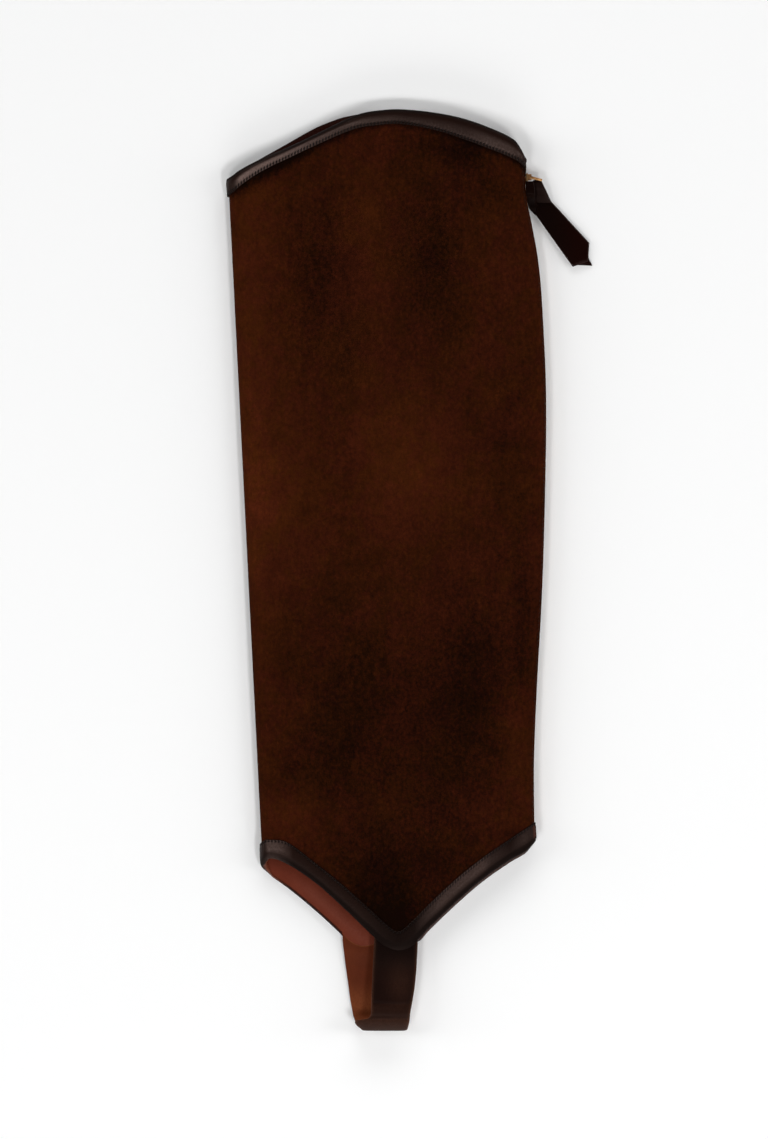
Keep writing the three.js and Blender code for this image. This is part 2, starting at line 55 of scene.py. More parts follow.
SHIN_RADIUS = 6.75
CALF_RADIUS = 8.0
SAG = 0.7  # how much thinner the leg is in its middle
SLOT_ANGLE = 33.0  # from the calf edge round to either suede edge beside the zip
FADE = 9.0  # over this length the far suede comes level with the bindings, onto the surface
INNER_LEAF = 8.0  # how far the top binding reaches down inside
LIP = 1.5  # how far the foot binding shows inside
SEAM = 2.2  # from the foot edge up to the seam between the two linings
TUCK = 6.0  # how far the strap's near end goes up under the foot binding
MAX_STRETCH = 1.5  # a binding is widened no more than this where its edge is steep
LAYER_WIDTH = 178.0  # nominal, from the calf fold's centre to the shin fold's
FOLDS_POWER = 8  # the soft folds fade this fast as a layer turns


def columns_of(text, rows):
    """A table's columns by name."""
    return {name: np.array([row[i] for row in rows], float) for i, name in enumerate(text.split())}


SHIN_LINE = {"y": 235.0, "x": -99.1, "lean": 0.05}
CALF_LINE = columns_of("y x", [
    (-240, 88.6), (-150, 88.3), (-113, 88.2), (-68, 90.0), (-13, 93.0), (46, 94.8), (105, 95.4),
    (160, 93.0), (186, 90.6), (210, 86.3), (222, 83.8), (235, 82.7), (250, 82.4),
])
NEAR_TOP = columns_of("across edge band", [
    (0.0, 235.0, 225.2), (0.025, 237.4, 227.2), (0.05, 240.2, 230.8), (0.1, 245.0, 236.9),
    (0.15, 249.0, 241.8), (0.2, 252.8, 246.0), (0.3, 261.2, 254.5), (0.4, 270.0, 262.4),
    (0.45, 273.6, 265.3), (0.5, 275.4, 266.6), (0.58, 276.3, 267.4), (0.7, 274.1, 263.4),
    (0.8, 270.1, 257.4), (0.9, 263.2, 250.4), (0.95, 258.4, 246.4), (0.975, 254.0, 243.8),
    (1.0, 246.0, 239.6),
])
FAR_TOP = columns_of("across edge", [
    (0.0, 235.0), (0.1, 245.6), (0.2, 255.6), (0.3, 265.6), (0.35, 269.4), (0.4, 272.4),
    (0.5, 275.4), (0.58, 275.8), (0.7, 273.4), (0.8, 269.4), (0.9, 262.6), (0.95, 257.6),
    (0.975, 253.4), (1.0, 245.6),
])
NEAR_FOOT = columns_of("across edge band", [
    (0.0, -175.5, -162.0), (0.04, -173.0, -161.7), (0.1, -176.6, -163.2), (0.2, -188.2, -175.8),
    (0.3, -203.6, -189.6), (0.4, -220.0, -205.0), (0.44, -225.4, -211.4), (0.49, -228.0, -216.8),
    (0.54, -225.2, -210.8), (0.6, -215.0, -201.0), (0.7, -199.4, -185.6), (0.8, -185.2, -172.4),
    (0.9, -173.7, -161.0), (0.96, -168.2, -154.4), (1.0, -162.6, -150.6),
])
FAR_FOOT = columns_of("across edge", [
    (0.0, -178.8), (0.04, -184.5), (0.1, -191.9), (0.2, -206.2), (0.28, -219.0), (0.31, -224.6),
    (0.35, -228.0), (0.4, -227.0), (0.445, -223.6), (0.5, -221.0), (0.54, -224.0), (0.57, -222.6),
    (0.6, -217.2), (0.7, -201.6), (0.8, -187.4), (0.9, -175.8), (0.96, -169.8), (1.0, -163.0),
])
FAR_BAND = {"top": 11.5, "foot": 12.5}

# Along each near binding: how far its face leans towards the suede or towards its rim, how strong
# the painted highlight is on the face, the cut edge and the rim, and how much painted shade darkens
# it.
TOP_FINISH = columns_of("across inward outward pale edge rim dark", [
    (0, 0, 0, 0, 0, 0, 0.5), (0.03, 0.7, 0, 0.1, 0, 0, 0.2), (0.05, 1.2, 0, 0.9, 0, 0, 0),
    (0.09, 1.4, 0, 1, 0, 0, 0), (0.20, 1.4, 0, 0.9, 0, 0, 0), (0.28, 1, 0, 0.55, 0, 0, 0),
    (0.40, 0.6, 0, 0.2, 0, 0, 0.1), (0.60, 0.5, 0, 0, 0, 0, 0.2), (0.80, 0.6, 0, 0.08, 0, 0, 0.1),
    (0.87, 1, 0, 0.2, 0, 0, 0), (0.94, 1, 0, 0.2, 0, 0, 0), (1, 0.2, 0, 0, 0, 0, 0.3),
])
FOOT_FINISH = columns_of("across inward outward pale edge rim dark", [
    (0, 0, 0.2, 0, 0, 0.1, 0.45), (0.02, 0, 0.4, 0.05, 0, 0.3, 0.3),
    (0.03, 0, 0.7, 0.38, 0, 0.4, 0), (0.06, 0, 0.7, 0.38, 0, 0.35, 0),
    (0.085, 0, 0.4, 0.25, 0, 0.2, 0), (0.12, 0.1, 0, 0, 0, 0, 0.15), (0.18, 0.1, 0, 0, 0, 0, 0.25),
    (0.36, 0.1, 0, 0, 0, 0, 0.4), (0.43, 0.6, 0, 0, 0.05, 0, 0.85), (0.49, 1.1, 0, 0, 0.25, 0.1, 1),
    (0.55, 0.7, 0, 0, 0.3, 0, 0.9), (0.60, 0.2, 0, 0.15, 0.2, 0, 0.5),
    (0.65, 0, 0.1, 0.28, 0.1, 0, 0.1), (0.80, 0, 0.1, 0.32, 0, 0, 0),
    (0.83, 0.1, 0, 0.12, 0.1, 0, 0.4), (0.90, 0.1, 0, 0, 0.1, 0, 0.6),
    (0.95, 0.1, 0, 0.15, 0, 0, 0.4), (1, 0.2, 0, 0, 0, 0, 0.6),
])

STRAP = {"near": (-10.0, 15.9), "far": (-29.0, -3.6)}  # left and right sides at each V
BEND = {"y": -268.8, "radius": 8.6, "steps": 16}
STRAP_DOWN = columns_of("y z centre half", [
    (-240, 13.6, 2.1, 13.0), (-250, 15.0, 1.4, 12.7), (-260, 16.5, 0.4, 12.0),
    (-266, 17.1, -0.2, 11.5),
])
STRAP_BEND = columns_of("turn centre half", [
    (0.0, -0.9, 12.1), (0.04, -5.0, 16.0), (0.25, -5.0, 15.4), (0.5, -3.9, 13.2),
    (0.75, -7.4, 13.0), (1.0, -10.2, 12.2),
])
STRAP_UP = columns_of("y z centre half", [
    (-258, 0.0, -12.3, 12.1), (-246, 0.0, -13.5, 12.5), (-237, 0.3, -14.6, 12.7),
])

# Soft troughs (and, below 0, ridges) of the near layer: middle, heading in degrees, size and depth.
NEAR_FOLDS = columns_of("x y heading length width depth", [
    (64, 138, 96, 70, 11, 0.50), (78, 40, 88, 60, 9, 0.35), (-72, 96, 93, 95, 12, 0.40),
    (-30, 222, 22, 44, 8, 0.40), (22, 230, -12, 50, 9, 0.35), (4, 60, 84, 110, 26, 0.40),
    (-44, -40, 104, 70, 14, -0.35), (44, -86, 70, 62, 12, 0.45), (-58, -128, 18, 36, 7, 0.40),
    (12, -168, 62, 34, 8, -0.30), (58, -138, 38, 34, 8, 0.40), (-12, -190, 118, 24, 7, 0.30),
])
FAR_FOLDS = columns_of("x y heading length width depth", [
    (-50, 120, 95, 80, 12, 0.45), (40, 60, 84, 90, 18, 0.40), (10, -90, 75, 60, 12, 0.40),
    (-30, -150, 30, 40, 9, 0.35), (50, 210, 14, 44, 8, 0.35),
])

# Patches of the nap, brushed darker (below 0) or lighter, on the near layer.
NAP_PATCHES = columns_of("x y wide high shade", [
    (-88, 60, 15, 250, 0.24), (-66, 48, 22, 60, 0.14), (4, 66, 34, 46, 0.17),
    (-12, 196, 11, 58, 0.10), (-44, 176, 15, 44, -0.20), (26, 182, 19, 42, -0.22),
    (45, 249, 12, 9, -0.30), (30, 255, 20, 8, -0.22), (36, 236, 30, 16, -0.09),
    (62, 226, 16, 16, -0.08), (-29, 66, 9, 60, -0.06), (66, 70, 14, 90, -0.04),
    (52, -64, 20, 46, -0.30), (-26, -74, 26, 44, -0.20), (22, -80, 30, 40, -0.17),
    (78, -30, 7, 50, -0.20), (74, -98, 8, 32, 0.14), (-64, -146, 18, 14, 0.16),
    (-40, -118, 30, 22, -0.14), (30, -128, 34, 26, -0.14), (-8, -190, 26, 34, -0.38),
    (34, -176, 26, 26, -0.20), (2, -214, 18, 20, -0.38), (-62, -190, 30, 20, 0.06),
])

# Painted shadow on the suede just below the top binding: how much darker, and how far down, along
# it.
SHADOW_UNDER_TOP_BAND = columns_of("across darker reach", [
    (0.0, 0.2, 3.0), (0.05, 0.62, 5.6), (0.16, 0.62, 5.6), (0.26, 0.52, 4.0), (0.36, 0.34, 2.8),
    (0.60, 0.22, 2.4), (1.0, 0.36, 2.4),
])


# ---- Curves and surfaces -------------------------------------------------------------------------
def smooth_curve(at, values):
    """A smooth curve through points, straight beyond its ends."""
    index = np.arange(len(at))
    before, after = np.maximum(index - 1, 0), np.minimum(index + 1, len(at) - 1)
    slopes = (values[after] - values[before]) / (at[after] - at[before])

    def follow(x):
        x = np.asarray(x, float)
        i = np.clip(np.searchsorted(at, x, side="right") - 1, 0, len(at) - 2)
        span = at[i + 1] - at[i]
        u = np.clip((x - at[i]) / span, 0, 1)
        inside = values[i] + (values[i + 1] - values[i]) * (u * u * (3 - 2 * u))
        inside = inside + u * (1 - u) ** 2 * span * slopes[i]
        inside = inside + u * u * (u - 1) * span * slopes[i + 1]
        low = values[0] + slopes[0] * (x - at[0])
        high = values[-1] + slopes[-1] * (x - at[-1])
        return np.where(x <= at[0], low, np.where(x >= at[-1], high, inside))

    return follow


def smoothstep(x, low, high):
    t = np.clip((x - low) / (high - low), 0, 1)
    return t * t * (3 - 2 * t)


def mix(a, b, part):
    return a + (b - a) * part


def bell(offset, width):
    """1 in the middle and fading both ways; width is where it has fallen to about a third."""
    return np.exp(-((offset / width) ** 2))


def oval(x, y, wide, high):
    """The same in two directions."""
    return np.exp(-((x / wide) ** 2) - (y / high) ** 2)


def lengths_along(points):
    """How far along a line each of its points is."""
    return np.r_[0, np.cumsum(np.linalg.norm(np.diff(points, axis=0), axis=1))]


def line_length(points):
    return float(np.linalg.norm(np.diff(np.asarray(points), axis=0), axis=1).sum())


def resampled(line, count):
    length = lengths_along(line)
    at = np.linspace(0, length[-1], count)
    return np.stack([np.interp(at, length, line[:, k]) for k in range(3)], 1)


def softened(line, passes):
    line = line.copy()
    for _ in range(passes):
        line[1:-1] = (line[:-2] + 2 * line[1:-1] + line[2:]) / 4
    return line


def square_to(lines):
    """Upright directions square to lengthwise lines, to the left of the way that they run."""
    step = np.gradient(lines, axis=1)
    length = np.maximum(np.hypot(step[..., 1], step[..., 2]), 1e-9)
    return np.stack([np.zeros_like(length), -step[..., 2] / length, step[..., 1] / length], -1)


calf_line = smooth_curve(CALF_LINE["y"], CALF_LINE["x"])
near_top, near_top_band = (smooth_curve(NEAR_TOP["across"], NEAR_TOP[k]) for k in ("edge", "band"))
near_foot, near_foot_band = (
    smooth_curve(NEAR_FOOT["across"], NEAR_FOOT[k]) for k in ("edge", "band"))
far_top, far_foot = (smooth_curve(edge["across"], edge["edge"]) for edge in (FAR_TOP, FAR_FOOT))


def far_top_band(across):
    return far_top(across) - FAR_BAND["top"]


def far_foot_band(across):
    return far_foot(across) + FAR_BAND["foot"]


def shin_line(y):
    return SHIN_LINE["x"] + (SHIN_LINE["y"] - y) * SHIN_LINE["lean"]


def half_height(run):
    level = mix(CALF_RADIUS, SHIN_RADIUS, smoothstep(run, 0, 1))
    return level - SAG / 2 * np.sin(np.pi * run) ** 2


def fold_centre(run, y):
    return mix(calf_line(y) - CALF_RADIUS, shin_line(y) + SHIN_RADIUS, run)


def run_at(x, y):
    start, end = fold_centre(0, y), fold_centre(1, y)
    return (x - start) / (end - start)


def soft_folds(folds, x, y):
    """How deep the listed troughs are at each point."""
    deep = np.zeros(np.broadcast(x, y).shape)
    for fx, fy, heading, length, width, depth in zip(*folds.values()):
        turn = math.radians(heading)
        along = (x - fx) * math.cos(turn) + (y - fy) * math.sin(turn)
        bow = along * along / (6 * length)  # a crease is never quite straight
        across = (y - fy) * math.cos(turn) - (x - fx) * math.sin(turn) - bow
        deep = deep + depth * np.exp(-((along / length) ** 2) * 2 - (across / width) ** 2)
    return deep


class Wrap:
    """Columns of the wrap, by their girth from the near zip edge, with the heights of its edges.

    run is 0 at the calf and 1 at the shin, angle is the way that the column faces, from +X over
    the near layer, and far is 1 on the far layer.
    """

    ARC = math.radians(90 - SLOT_ANGLE) * CALF_RADIUS
    PARTS = np.cumsum([0, ARC, LAYER_WIDTH, math.pi * SHIN_RADIUS, LAYER_WIDTH, ARC])
    GIRTH = float(PARTS[-1])

    def __init__(self, girth):
        self.girth = np.asarray(girth, float)
        self.run = np.interp(self.girth, self.PARTS, [0, 0, 1, 1, 0, 0])
        self.angle = np.interp(
            self.girth, self.PARTS, [SLOT_ANGLE, 90, 90, 270, 270, 360 - SLOT_ANGLE])
        self.far = np.interp(self.girth, self.PARTS, [0, 0, 0, 1, 1, 1])
        self.far_edge = smoothstep(self.far, 0.1, 0.75)
        self.rest = smoothstep(-np.sin(np.radians(self.angle)), 0.6, 1)  # 1 on the surface
        self.top = self.edge(near_top, far_top)
        self.top_band = self.edge(near_top_band, far_top_band)
        self.foot = self.edge(near_foot, far_foot)
        self.foot_band = self.edge(near_foot_band, far_foot_band)

    def place(self, y, depth):
        """Points of the columns; y and depth may have rows for each column."""
        run, angle = self.run, np.radians(self.angle)
        if np.ndim(y) == 2:
            run, angle = run[:, None], angle[:, None]
        half = half_height(run)
        middle = fold_centre(run, y)
        flat = np.sin(angle)
        near = np.clip(flat, 0, 1) ** FOLDS_POWER * soft_folds(NEAR_FOLDS, middle, y)
        far = np.clip(-flat, 0, 1) ** FOLDS_POWER * soft_folds(FAR_FOLDS, middle, y)
        inside = depth + near + np.clip(far, 0, None) * 0.5
        return np.stack([
            middle + (half - inside) * np.cos(angle),
            np.broadcast_to(y, inside.shape),
            half + (half - inside) * np.sin(angle),
        ], -1)

    def outward(self):
        turn = np.radians(self.angle)
        return np.stack([np.cos(turn), np.zeros_like(turn), np.sin(turn)], -1)

    def edge(self, near, far):
        """The height at which each column meets an edge that both layers have."""
        half, turn = half_height(self.run), np.radians(self.angle)
        y = np.full(self.run.shape, float(near(0.5)))
        for _ in range(5):
            x = fold_centre(self.run, y) + half * np.cos(turn)
            across = (x - shin_line(y)) / (calf_line(y) - shin_line(y))
            y = mix(near(across), far(across), self.far_edge)
        return y

    def band_and_rim(self, edge_name):
        """A binding's two edges: where it meets the suede, and its rim."""
        return getattr(self, edge_name + "_band"), getattr(self, edge_name)

    def across(self, edge):
        """Each column's place along an edge: 0 at the shin fold and 1 at the calf's."""
        x = self.place(edge, np.zeros_like(edge))[:, 0]
        return (x - shin_line(edge)) / (calf_line(edge) - shin_line(edge))

    def stretch(self, edge):
        """How much longer an upright offset is than the same one square to a slanting edge."""
        step = np.gradient(self.place(edge, np.zeros_like(edge)), axis=0)
        level = np.maximum(np.hypot(step[:, 0], step[:, 2]), 1e-6)
        return np.clip(np.linalg.norm(step, axis=1) / level, 1, MAX_STRETCH)

    def in_strap(self, ease=0.6):
        """1 where the strap's end passes under the foot binding, 0 elsewhere."""
        x = self.place(self.foot, np.zeros_like(self.foot))[:, 0]
        shares = []
        for side, here in (("near", self.far == 0), ("far", self.far == 1)):
            left, right = STRAP[side]
            inside = np.minimum(x - left, right - x)
            shares.append(np.where(here & (self.run > 0), smoothstep(inside, -ease, ease), 0))
        return shares[0] + shares[1]

    def recess(self, y):
        """How far the suede is under the bindings' face; none where it lies on the surface."""
        from_foot = np.clip((y - self.foot_band[:, None]) / FADE, 0, 1)
        from_top = np.clip((self.top_band[:, None] - y) / FADE, 0, 1)
        return LEAF_DEPTH * (1 - self.rest[:, None] * np.minimum(from_foot, from_top))


# ---- Meshes --------------------------------------------------------------------------------------
def add_object(name, data):
    """A new object in the scene."""
    made = bpy.data.objects.new(name, data)
    bpy.context.scene.collection.objects.link(made)
    return made


def grid_faces(width, height, first=0):
    i, j = np.meshgrid(np.arange(width - 1), np.arange(height - 1), indexing="ij")
    a = first + i * height + j
    return np.stack([a, a + height, a + height + 1, a + 1], -1).reshape(-1, 4)


def signed_volume(points, faces):
    corners = points[faces]
    total = 0.0
    for k in (1, 2):
        total += np.einsum("ij,ij->", corners[:, 0], np.cross(corners[:, k], corners[:, k + 1]))
    return total


def make_piece(name, points, faces, material, ends=(), marks=None, sharp=40):
    """An object from points in millimetres and quads, with faces outwards; ends are its caps."""
    points = np.asarray(points, float)
    if signed_volume(points, faces) < 0:
        faces = faces[:, ::-1]
    polygons = faces.tolist() + [list(cap) for cap in ends]
    mesh = bpy.data.meshes.new(name)
    mesh.from_pydata((points * MM).tolist(), [], polygons)
    for mark, values in (marks or {}).items():
        layer = mesh.attributes.new(mark, "FLOAT", "POINT")
        layer.data.foreach_set("value", np.asarray(values, np.float32).ravel())
    mesh.validate()
    mesh.shade_smooth()
    mesh.set_sharp_from_angle(angle=math.radians(sharp))
    mesh.materials.append(material)
    return add_object(name, mesh)


def mesh_of(work, name, sharp):
    """Ends work on a bmesh: a smooth mesh with edges sharp past that angle."""
    mesh = bpy.data.meshes.new(name)
    work.to_mesh(mesh)
    work.free()
    mesh.shade_smooth()
    mesh.set_sharp_from_angle(angle=math.radians(sharp))
    return mesh


def border(grid):
    """A grid's border vertices, in order, and for each its neighbour inside."""
    width, height = grid.shape[:2]
    around = [(i, 0) for i in range(width)] + [(width - 1, j) for j in range(1, height)]
    around += [(i, height - 1) for i in range(width - 2, -1, -1)]
    around += [(0, j) for j in range(height - 2, 0, -1)]
    at = np.array(around)
    inner = np.clip(at, 1, [width - 2, height - 2])
    return at, inner


def shell(name, outer, inner, material, bulge=0.0, marks=None, sharp=40):
    """The closed sheet between two grids of points, with its rim bulged by that much."""
    width, height = outer.shape[:2]
    count = width * height
    at, within = border(outer)
    rim_outer, rim_inner = outer[at[:, 0], at[:, 1]], inner[at[:, 0], at[:, 1]]
    away = rim_outer - outer[within[:, 0], within[:, 1]]
    length = np.maximum(np.linalg.norm(away, axis=1, keepdims=True), 1e-9)
    middle = (rim_outer + rim_inner) / 2 + away / length * bulge
    points = np.concatenate([outer.reshape(-1, 3), inner.reshape(-1, 3), middle])
    a = at[:, 0] * height + at[:, 1]
    b, c = a + count, np.arange(len(at)) + 2 * count
    nxt = np.roll(np.arange(len(at)), -1)
    faces = np.concatenate([
        grid_faces(width, height),
        grid_faces(width, height, count)[:, ::-1],
        np.stack([a, c, c[nxt], a[nxt]], -1),
        np.stack([c, b, b[nxt], c[nxt]], -1),
    ])
    spread = {}
    for mark, values in (marks or {}).items():
        values = np.broadcast_to(values, (width, height))
        spread[mark] = np.concatenate([values.ravel(), values.ravel(), values[at[:, 0], at[:, 1]]])
    return make_piece(name, points, faces, material, marks=spread, sharp=sharp)


def swept(name, sections, material, marks=None, sharp=40):
    """The closed body through a row of sections (stations, points round the section, 3)."""
    stations, size = sections.shape[:2]
    i, j = np.meshgrid(np.arange(stations - 1), np.arange(size), indexing="ij")
    nxt = (j + 1) % size
    a, b = i * size + j, i * size + nxt
    faces = np.stack([a, b, b + size, a + size], -1).reshape(-1, 4)
    points = sections.reshape(-1, 3)
    turned = signed_volume(points, faces) < 0
    first, last = list(range(size)), list(range((stations - 1) * size, stations * size))
    ends = (first, last[::-1]) if turned else (first[::-1], last)
    return make_piece(name, points, faces, material, ends=ends, marks=marks, sharp=sharp)


# ---- Shader groups -------------------------------------------------------------------------------
def new_group(name, inputs, outputs):
    """A shader group with those named sizes and masks, all of them numbers."""
    group = bpy.data.node_groups.new(name, "ShaderNodeTree")
    kind = "NodeSocketFloat"
    for socket, value in inputs.items():
        made = group.interface.new_socket(socket, in_out="INPUT", socket_type=kind)
        made.default_value = value
    for socket in outputs:
        group.interface.new_socket(socket, in_out="OUTPUT", socket_type=kind)
    return group, group.nodes.new("NodeGroupInput"), group.nodes.new("NodeGroupOutput")


class Nodes:
    """Short ways to add nodes to a tree."""

    def __init__(self, tree):
        self.tree = tree

    def add(self, kind, inputs=None, **settings):
        node = self.tree.nodes.new(kind)
        for key, value in settings.items():
            setattr(node, key, value)
        for key, value in (inputs or {}).items():
            self.feed(node.inputs[key], value)
        return node

    def get(self, output, kind, inputs=None, **settings):
        """Adds a node and gives that output of it."""
        return self.add(kind, inputs, **settings).outputs[output]

    def feed(self, socket, value):
        if isinstance(value, bpy.types.NodeSocket):
            self.tree.links.new(value, socket)
        else:
            socket.default_value = value

    def noise(self, where, size_mm, detail=3.0, rough=0.55, distortion=0.0):
        return self.get("Fac", "ShaderNodeTexNoise", {
            "Vector": where, "Scale": 1000.0 / size_mm, "Detail": detail, "Roughness": rough,
            "Distortion": distortion})

    def math(self, operation, a, b=0.0, clamp=False):
        node = self.add("ShaderNodeMath", operation=operation, use_clamp=clamp)
        self.feed(node.inputs[0], a)
        self.feed(node.inputs[1], b)
        return node.outputs[0]

    def swing(self, value, weight):
        """A value from 0 to 1 as a change either way, that many times as large."""
        return self.math("MULTIPLY", self.math("SUBTRACT", value, 0.5), weight)

    def weighted(self, a, part_a, b, part_b):
        first = self.math("MULTIPLY", a, part_a)
        return self.math("ADD", first, self.math("MULTIPLY", b, part_b))

    def spread(self, value, low, high, to_low=0.0, to_high=1.0):
        return self.get("Result", "ShaderNodeMapRange", {
            "Value": value, "From Min": low, "From Max": high, "To Min": to_low, "To Max": to_high})

    def blend(self, part, a, b, kind="MIX"):
        node = self.add("ShaderNodeMix", data_type="RGBA", blend_type=kind)
        self.feed(node.inputs[0], part)
        self.feed(node.inputs[6], a)
        self.feed(node.inputs[7], b)
        return node.outputs[2]

    def object_place(self, stretch=(1, 1, 1), turn=(0, 0, 0)):
        coords = self.get("Object", "ShaderNodeTexCoord")
        return self.get("Vector", "ShaderNodeMapping", {
            "Vector": coords, "Scale": stretch, "Rotation": turn})

    def mark(self, name):
        return self.get("Fac", "ShaderNodeAttribute", attribute_name=name)

    def place_group(self, group, inputs):
        return self.add("ShaderNodeGroup", inputs, node_tree=group)


def srgb(r, g, b):
    """Linear colour of an 8-bit one."""
    return tuple(((c / 255) / 12.92 if c <= 10 else ((c / 255 + 0.055) / 1.055) ** 2.4)
                 for c in (r, g, b)) + (1.0,)


def leather_grain_group():
    """Pebbled grain with pores and fine creases: a height and a mask of the low places."""
    group, start, end = new_group(
        "leather_grain", {"Pebble Size": 1.0, "Crease Size": 9.0, "Crease Strength": 0.3},
        ("Height", "Hollows"))
    n = Nodes(group)
    where = n.object_place()
    scale = n.math("DIVIDE", 1000.0, start.outputs["Pebble Size"])
    cells = n.get("Distance", "ShaderNodeTexVoronoi", {
        "Vector": where, "Scale": scale, "Randomness": 1.0}, feature="SMOOTH_F1")
    pebble = n.spread(cells, 0.0, 0.75, 1.0, 0.0)
    fine = n.get("Fac", "ShaderNodeTexNoise", {
        "Vector": where, "Scale": n.math("MULTIPLY", scale, 2.3), "Detail": 2.0})
    crease_scale = n.math("DIVIDE", 1000.0, start.outputs["Crease Size"])
    crease = n.get("Fac", "ShaderNodeTexNoise", {
        "Vector": where, "Scale": crease_scale, "Detail": 5.0, "Roughness": 0.62,
        "Distortion": 0.6})
    ridge = n.math("ABSOLUTE", n.math("SUBTRACT", crease, 0.5))
    line = n.spread(ridge, 0.0, 0.03, 0.0, 1.0)
    low = n.math("MULTIPLY", n.math("SUBTRACT", 1.0, line), start.outputs["Crease Strength"])
    height = n.math("SUBTRACT", n.weighted(pebble, 0.7, fine, 0.3), low)
    n.feed(end.inputs["Height"], height)
    n.feed(end.inputs["Hollows"], n.math("SUBTRACT", 1.0, height, clamp=True))
    return group


def cloud_group():
    """Uneven dye: broad clouds, mid blotches and a fine fleck, each from 0 to 1."""
    group, start, end = new_group(
        "uneven_dye", {"Cloud Size": 60.0, "Blotch Size": 14.0, "Fleck Size": 1.6},
        ("Clouds", "Blotches", "Flecks"))
    n = Nodes(group)
    where = n.object_place(stretch=(1.0, 0.8, 1.0))
    for name, size, detail, edge in (("Clouds", "Cloud Size", 3.0, 0.22),
                                     ("Blotches", "Blotch Size", 4.0, 0.24),
                                     ("Flecks", "Fleck Size", 2.0, 0.28)):
        scale = n.math("DIVIDE", 1000.0, start.outputs[size])
        noise = n.get("Fac", "ShaderNodeTexNoise", {
            "Vector": where, "Scale": scale, "Detail": detail, "Roughness": 0.6,
            "Distortion": 0.25})
        n.feed(end.inputs[name], n.spread(noise, 0.5 - edge, 0.5 + edge))
    return group


GRAIN = leather_grain_group()
UNEVEN = cloud_group()


# ---- Materials -----------------------------------------------------------------------------------
def new_material(name, roughness=0.5, **constants):
    """A material with a Principled BSDF; the constants are set on its own sockets."""
    material = bpy.data.materials.new(name)
    material.use_nodes = True
    shader = material.node_tree.nodes["Principled BSDF"]
    shader.inputs["Roughness"].default_value = roughness
    for socket, value in constants.items():
        shader.inputs[socket.replace("_", " ")].default_value = value
    return material, Nodes(material.node_tree), shader


def bump(n, shader, height, distance_mm, strength):
    n.feed(shader.inputs["Normal"], n.get("Normal", "ShaderNodeBump", {
        "Height": height, "Strength": strength, "Distance": distance_mm * MM}))


# From the darkest of the nap to the lightest, at even steps of tone.
NAP_DYES = [srgb(15, 5, 2), srgb(29, 10, 3), srgb(45, 17, 5), srgb(60, 25, 8), srgb(78, 34, 13)]


def suede_material():
    material, n, shader = new_material(
        "suede_nap", 0.95, Specular_IOR_Level=0.02, Sheen_Weight=0.035, Sheen_Roughness=0.45,
        Sheen_Tint=srgb(150, 88, 52))
    dye = n.place_group(UNEVEN, {"Cloud Size": 46.0, "Blotch Size": 11.0, "Fleck Size": 1.9})
    where = n.object_place()
    brushed = n.noise(n.object_place(stretch=(1.0, 0.16, 1.0), turn=(0, 0, 0.10)), 2.2, 3.0, 0.6)
    nap = n.noise(where, 0.7, 2.0, 0.6)
    ruddy = n.noise(where, 26.0, 3.0, 0.6, 0.4)

    # tone is the brushed patches less a painted shadow below the top binding; the noises break them
    # up, and the fine ones most in the dark
    patches = n.math("ADD", n.mark("tone"), 0.5)
    ruffled = n.spread(patches, 0.36, 0.60, 1.65, 1.0)
    tone = patches
    for value, weight, fine in (
        (dye.outputs["Clouds"], 0.12, False), (dye.outputs["Blotches"], 0.17, False),
        (dye.outputs["Flecks"], 0.27, True), (brushed, 0.14, True), (nap, 0.27, True),
    ):
        change = n.swing(value, weight)
        tone = n.math("ADD", tone, n.math("MULTIPLY", change, ruffled) if fine else change)
    ramp = n.add("ShaderNodeValToRGB", {"Fac": tone})
    stops = ramp.color_ramp.elements
    stops[0].color, stops[1].color = NAP_DYES[0], NAP_DYES[-1]
    for k in range(1, len(NAP_DYES) - 1):
        stops.new(k / (len(NAP_DYES) - 1)).color = NAP_DYES[k]
    red_patches = n.spread(ruddy, 0.40, 0.62)
    red = n.math("ADD", red_patches, n.swing(n.noise(where, 3.2, 2.0, 0.6), 2.4), clamp=True)
    hue = n.blend(n.math("MULTIPLY", red, 0.75), (0.98, 1.04, 0.88, 1.0), (1.08, 0.90, 1.35, 1.0))
    colour = n.blend(1.0, ramp.outputs["Color"], hue, "MULTIPLY")
    n.feed(shader.inputs["Base Color"], colour)
    n.feed(shader.inputs["Roughness"], n.spread(nap, 0.3, 0.7, 0.88, 1.0))
    bump(n, shader, n.weighted(nap, 0.6, brushed, 0.4), 0.25, 0.55)
    return material


RUDDY, WARM, RAW = (1.7, 0.85, 0.8, 1.0), (1.25, 0.92, 0.85, 1.0), srgb(92, 44, 27)


def deepened(colour, part):
    return tuple(c * part for c in colour[:3]) + (1.0,)


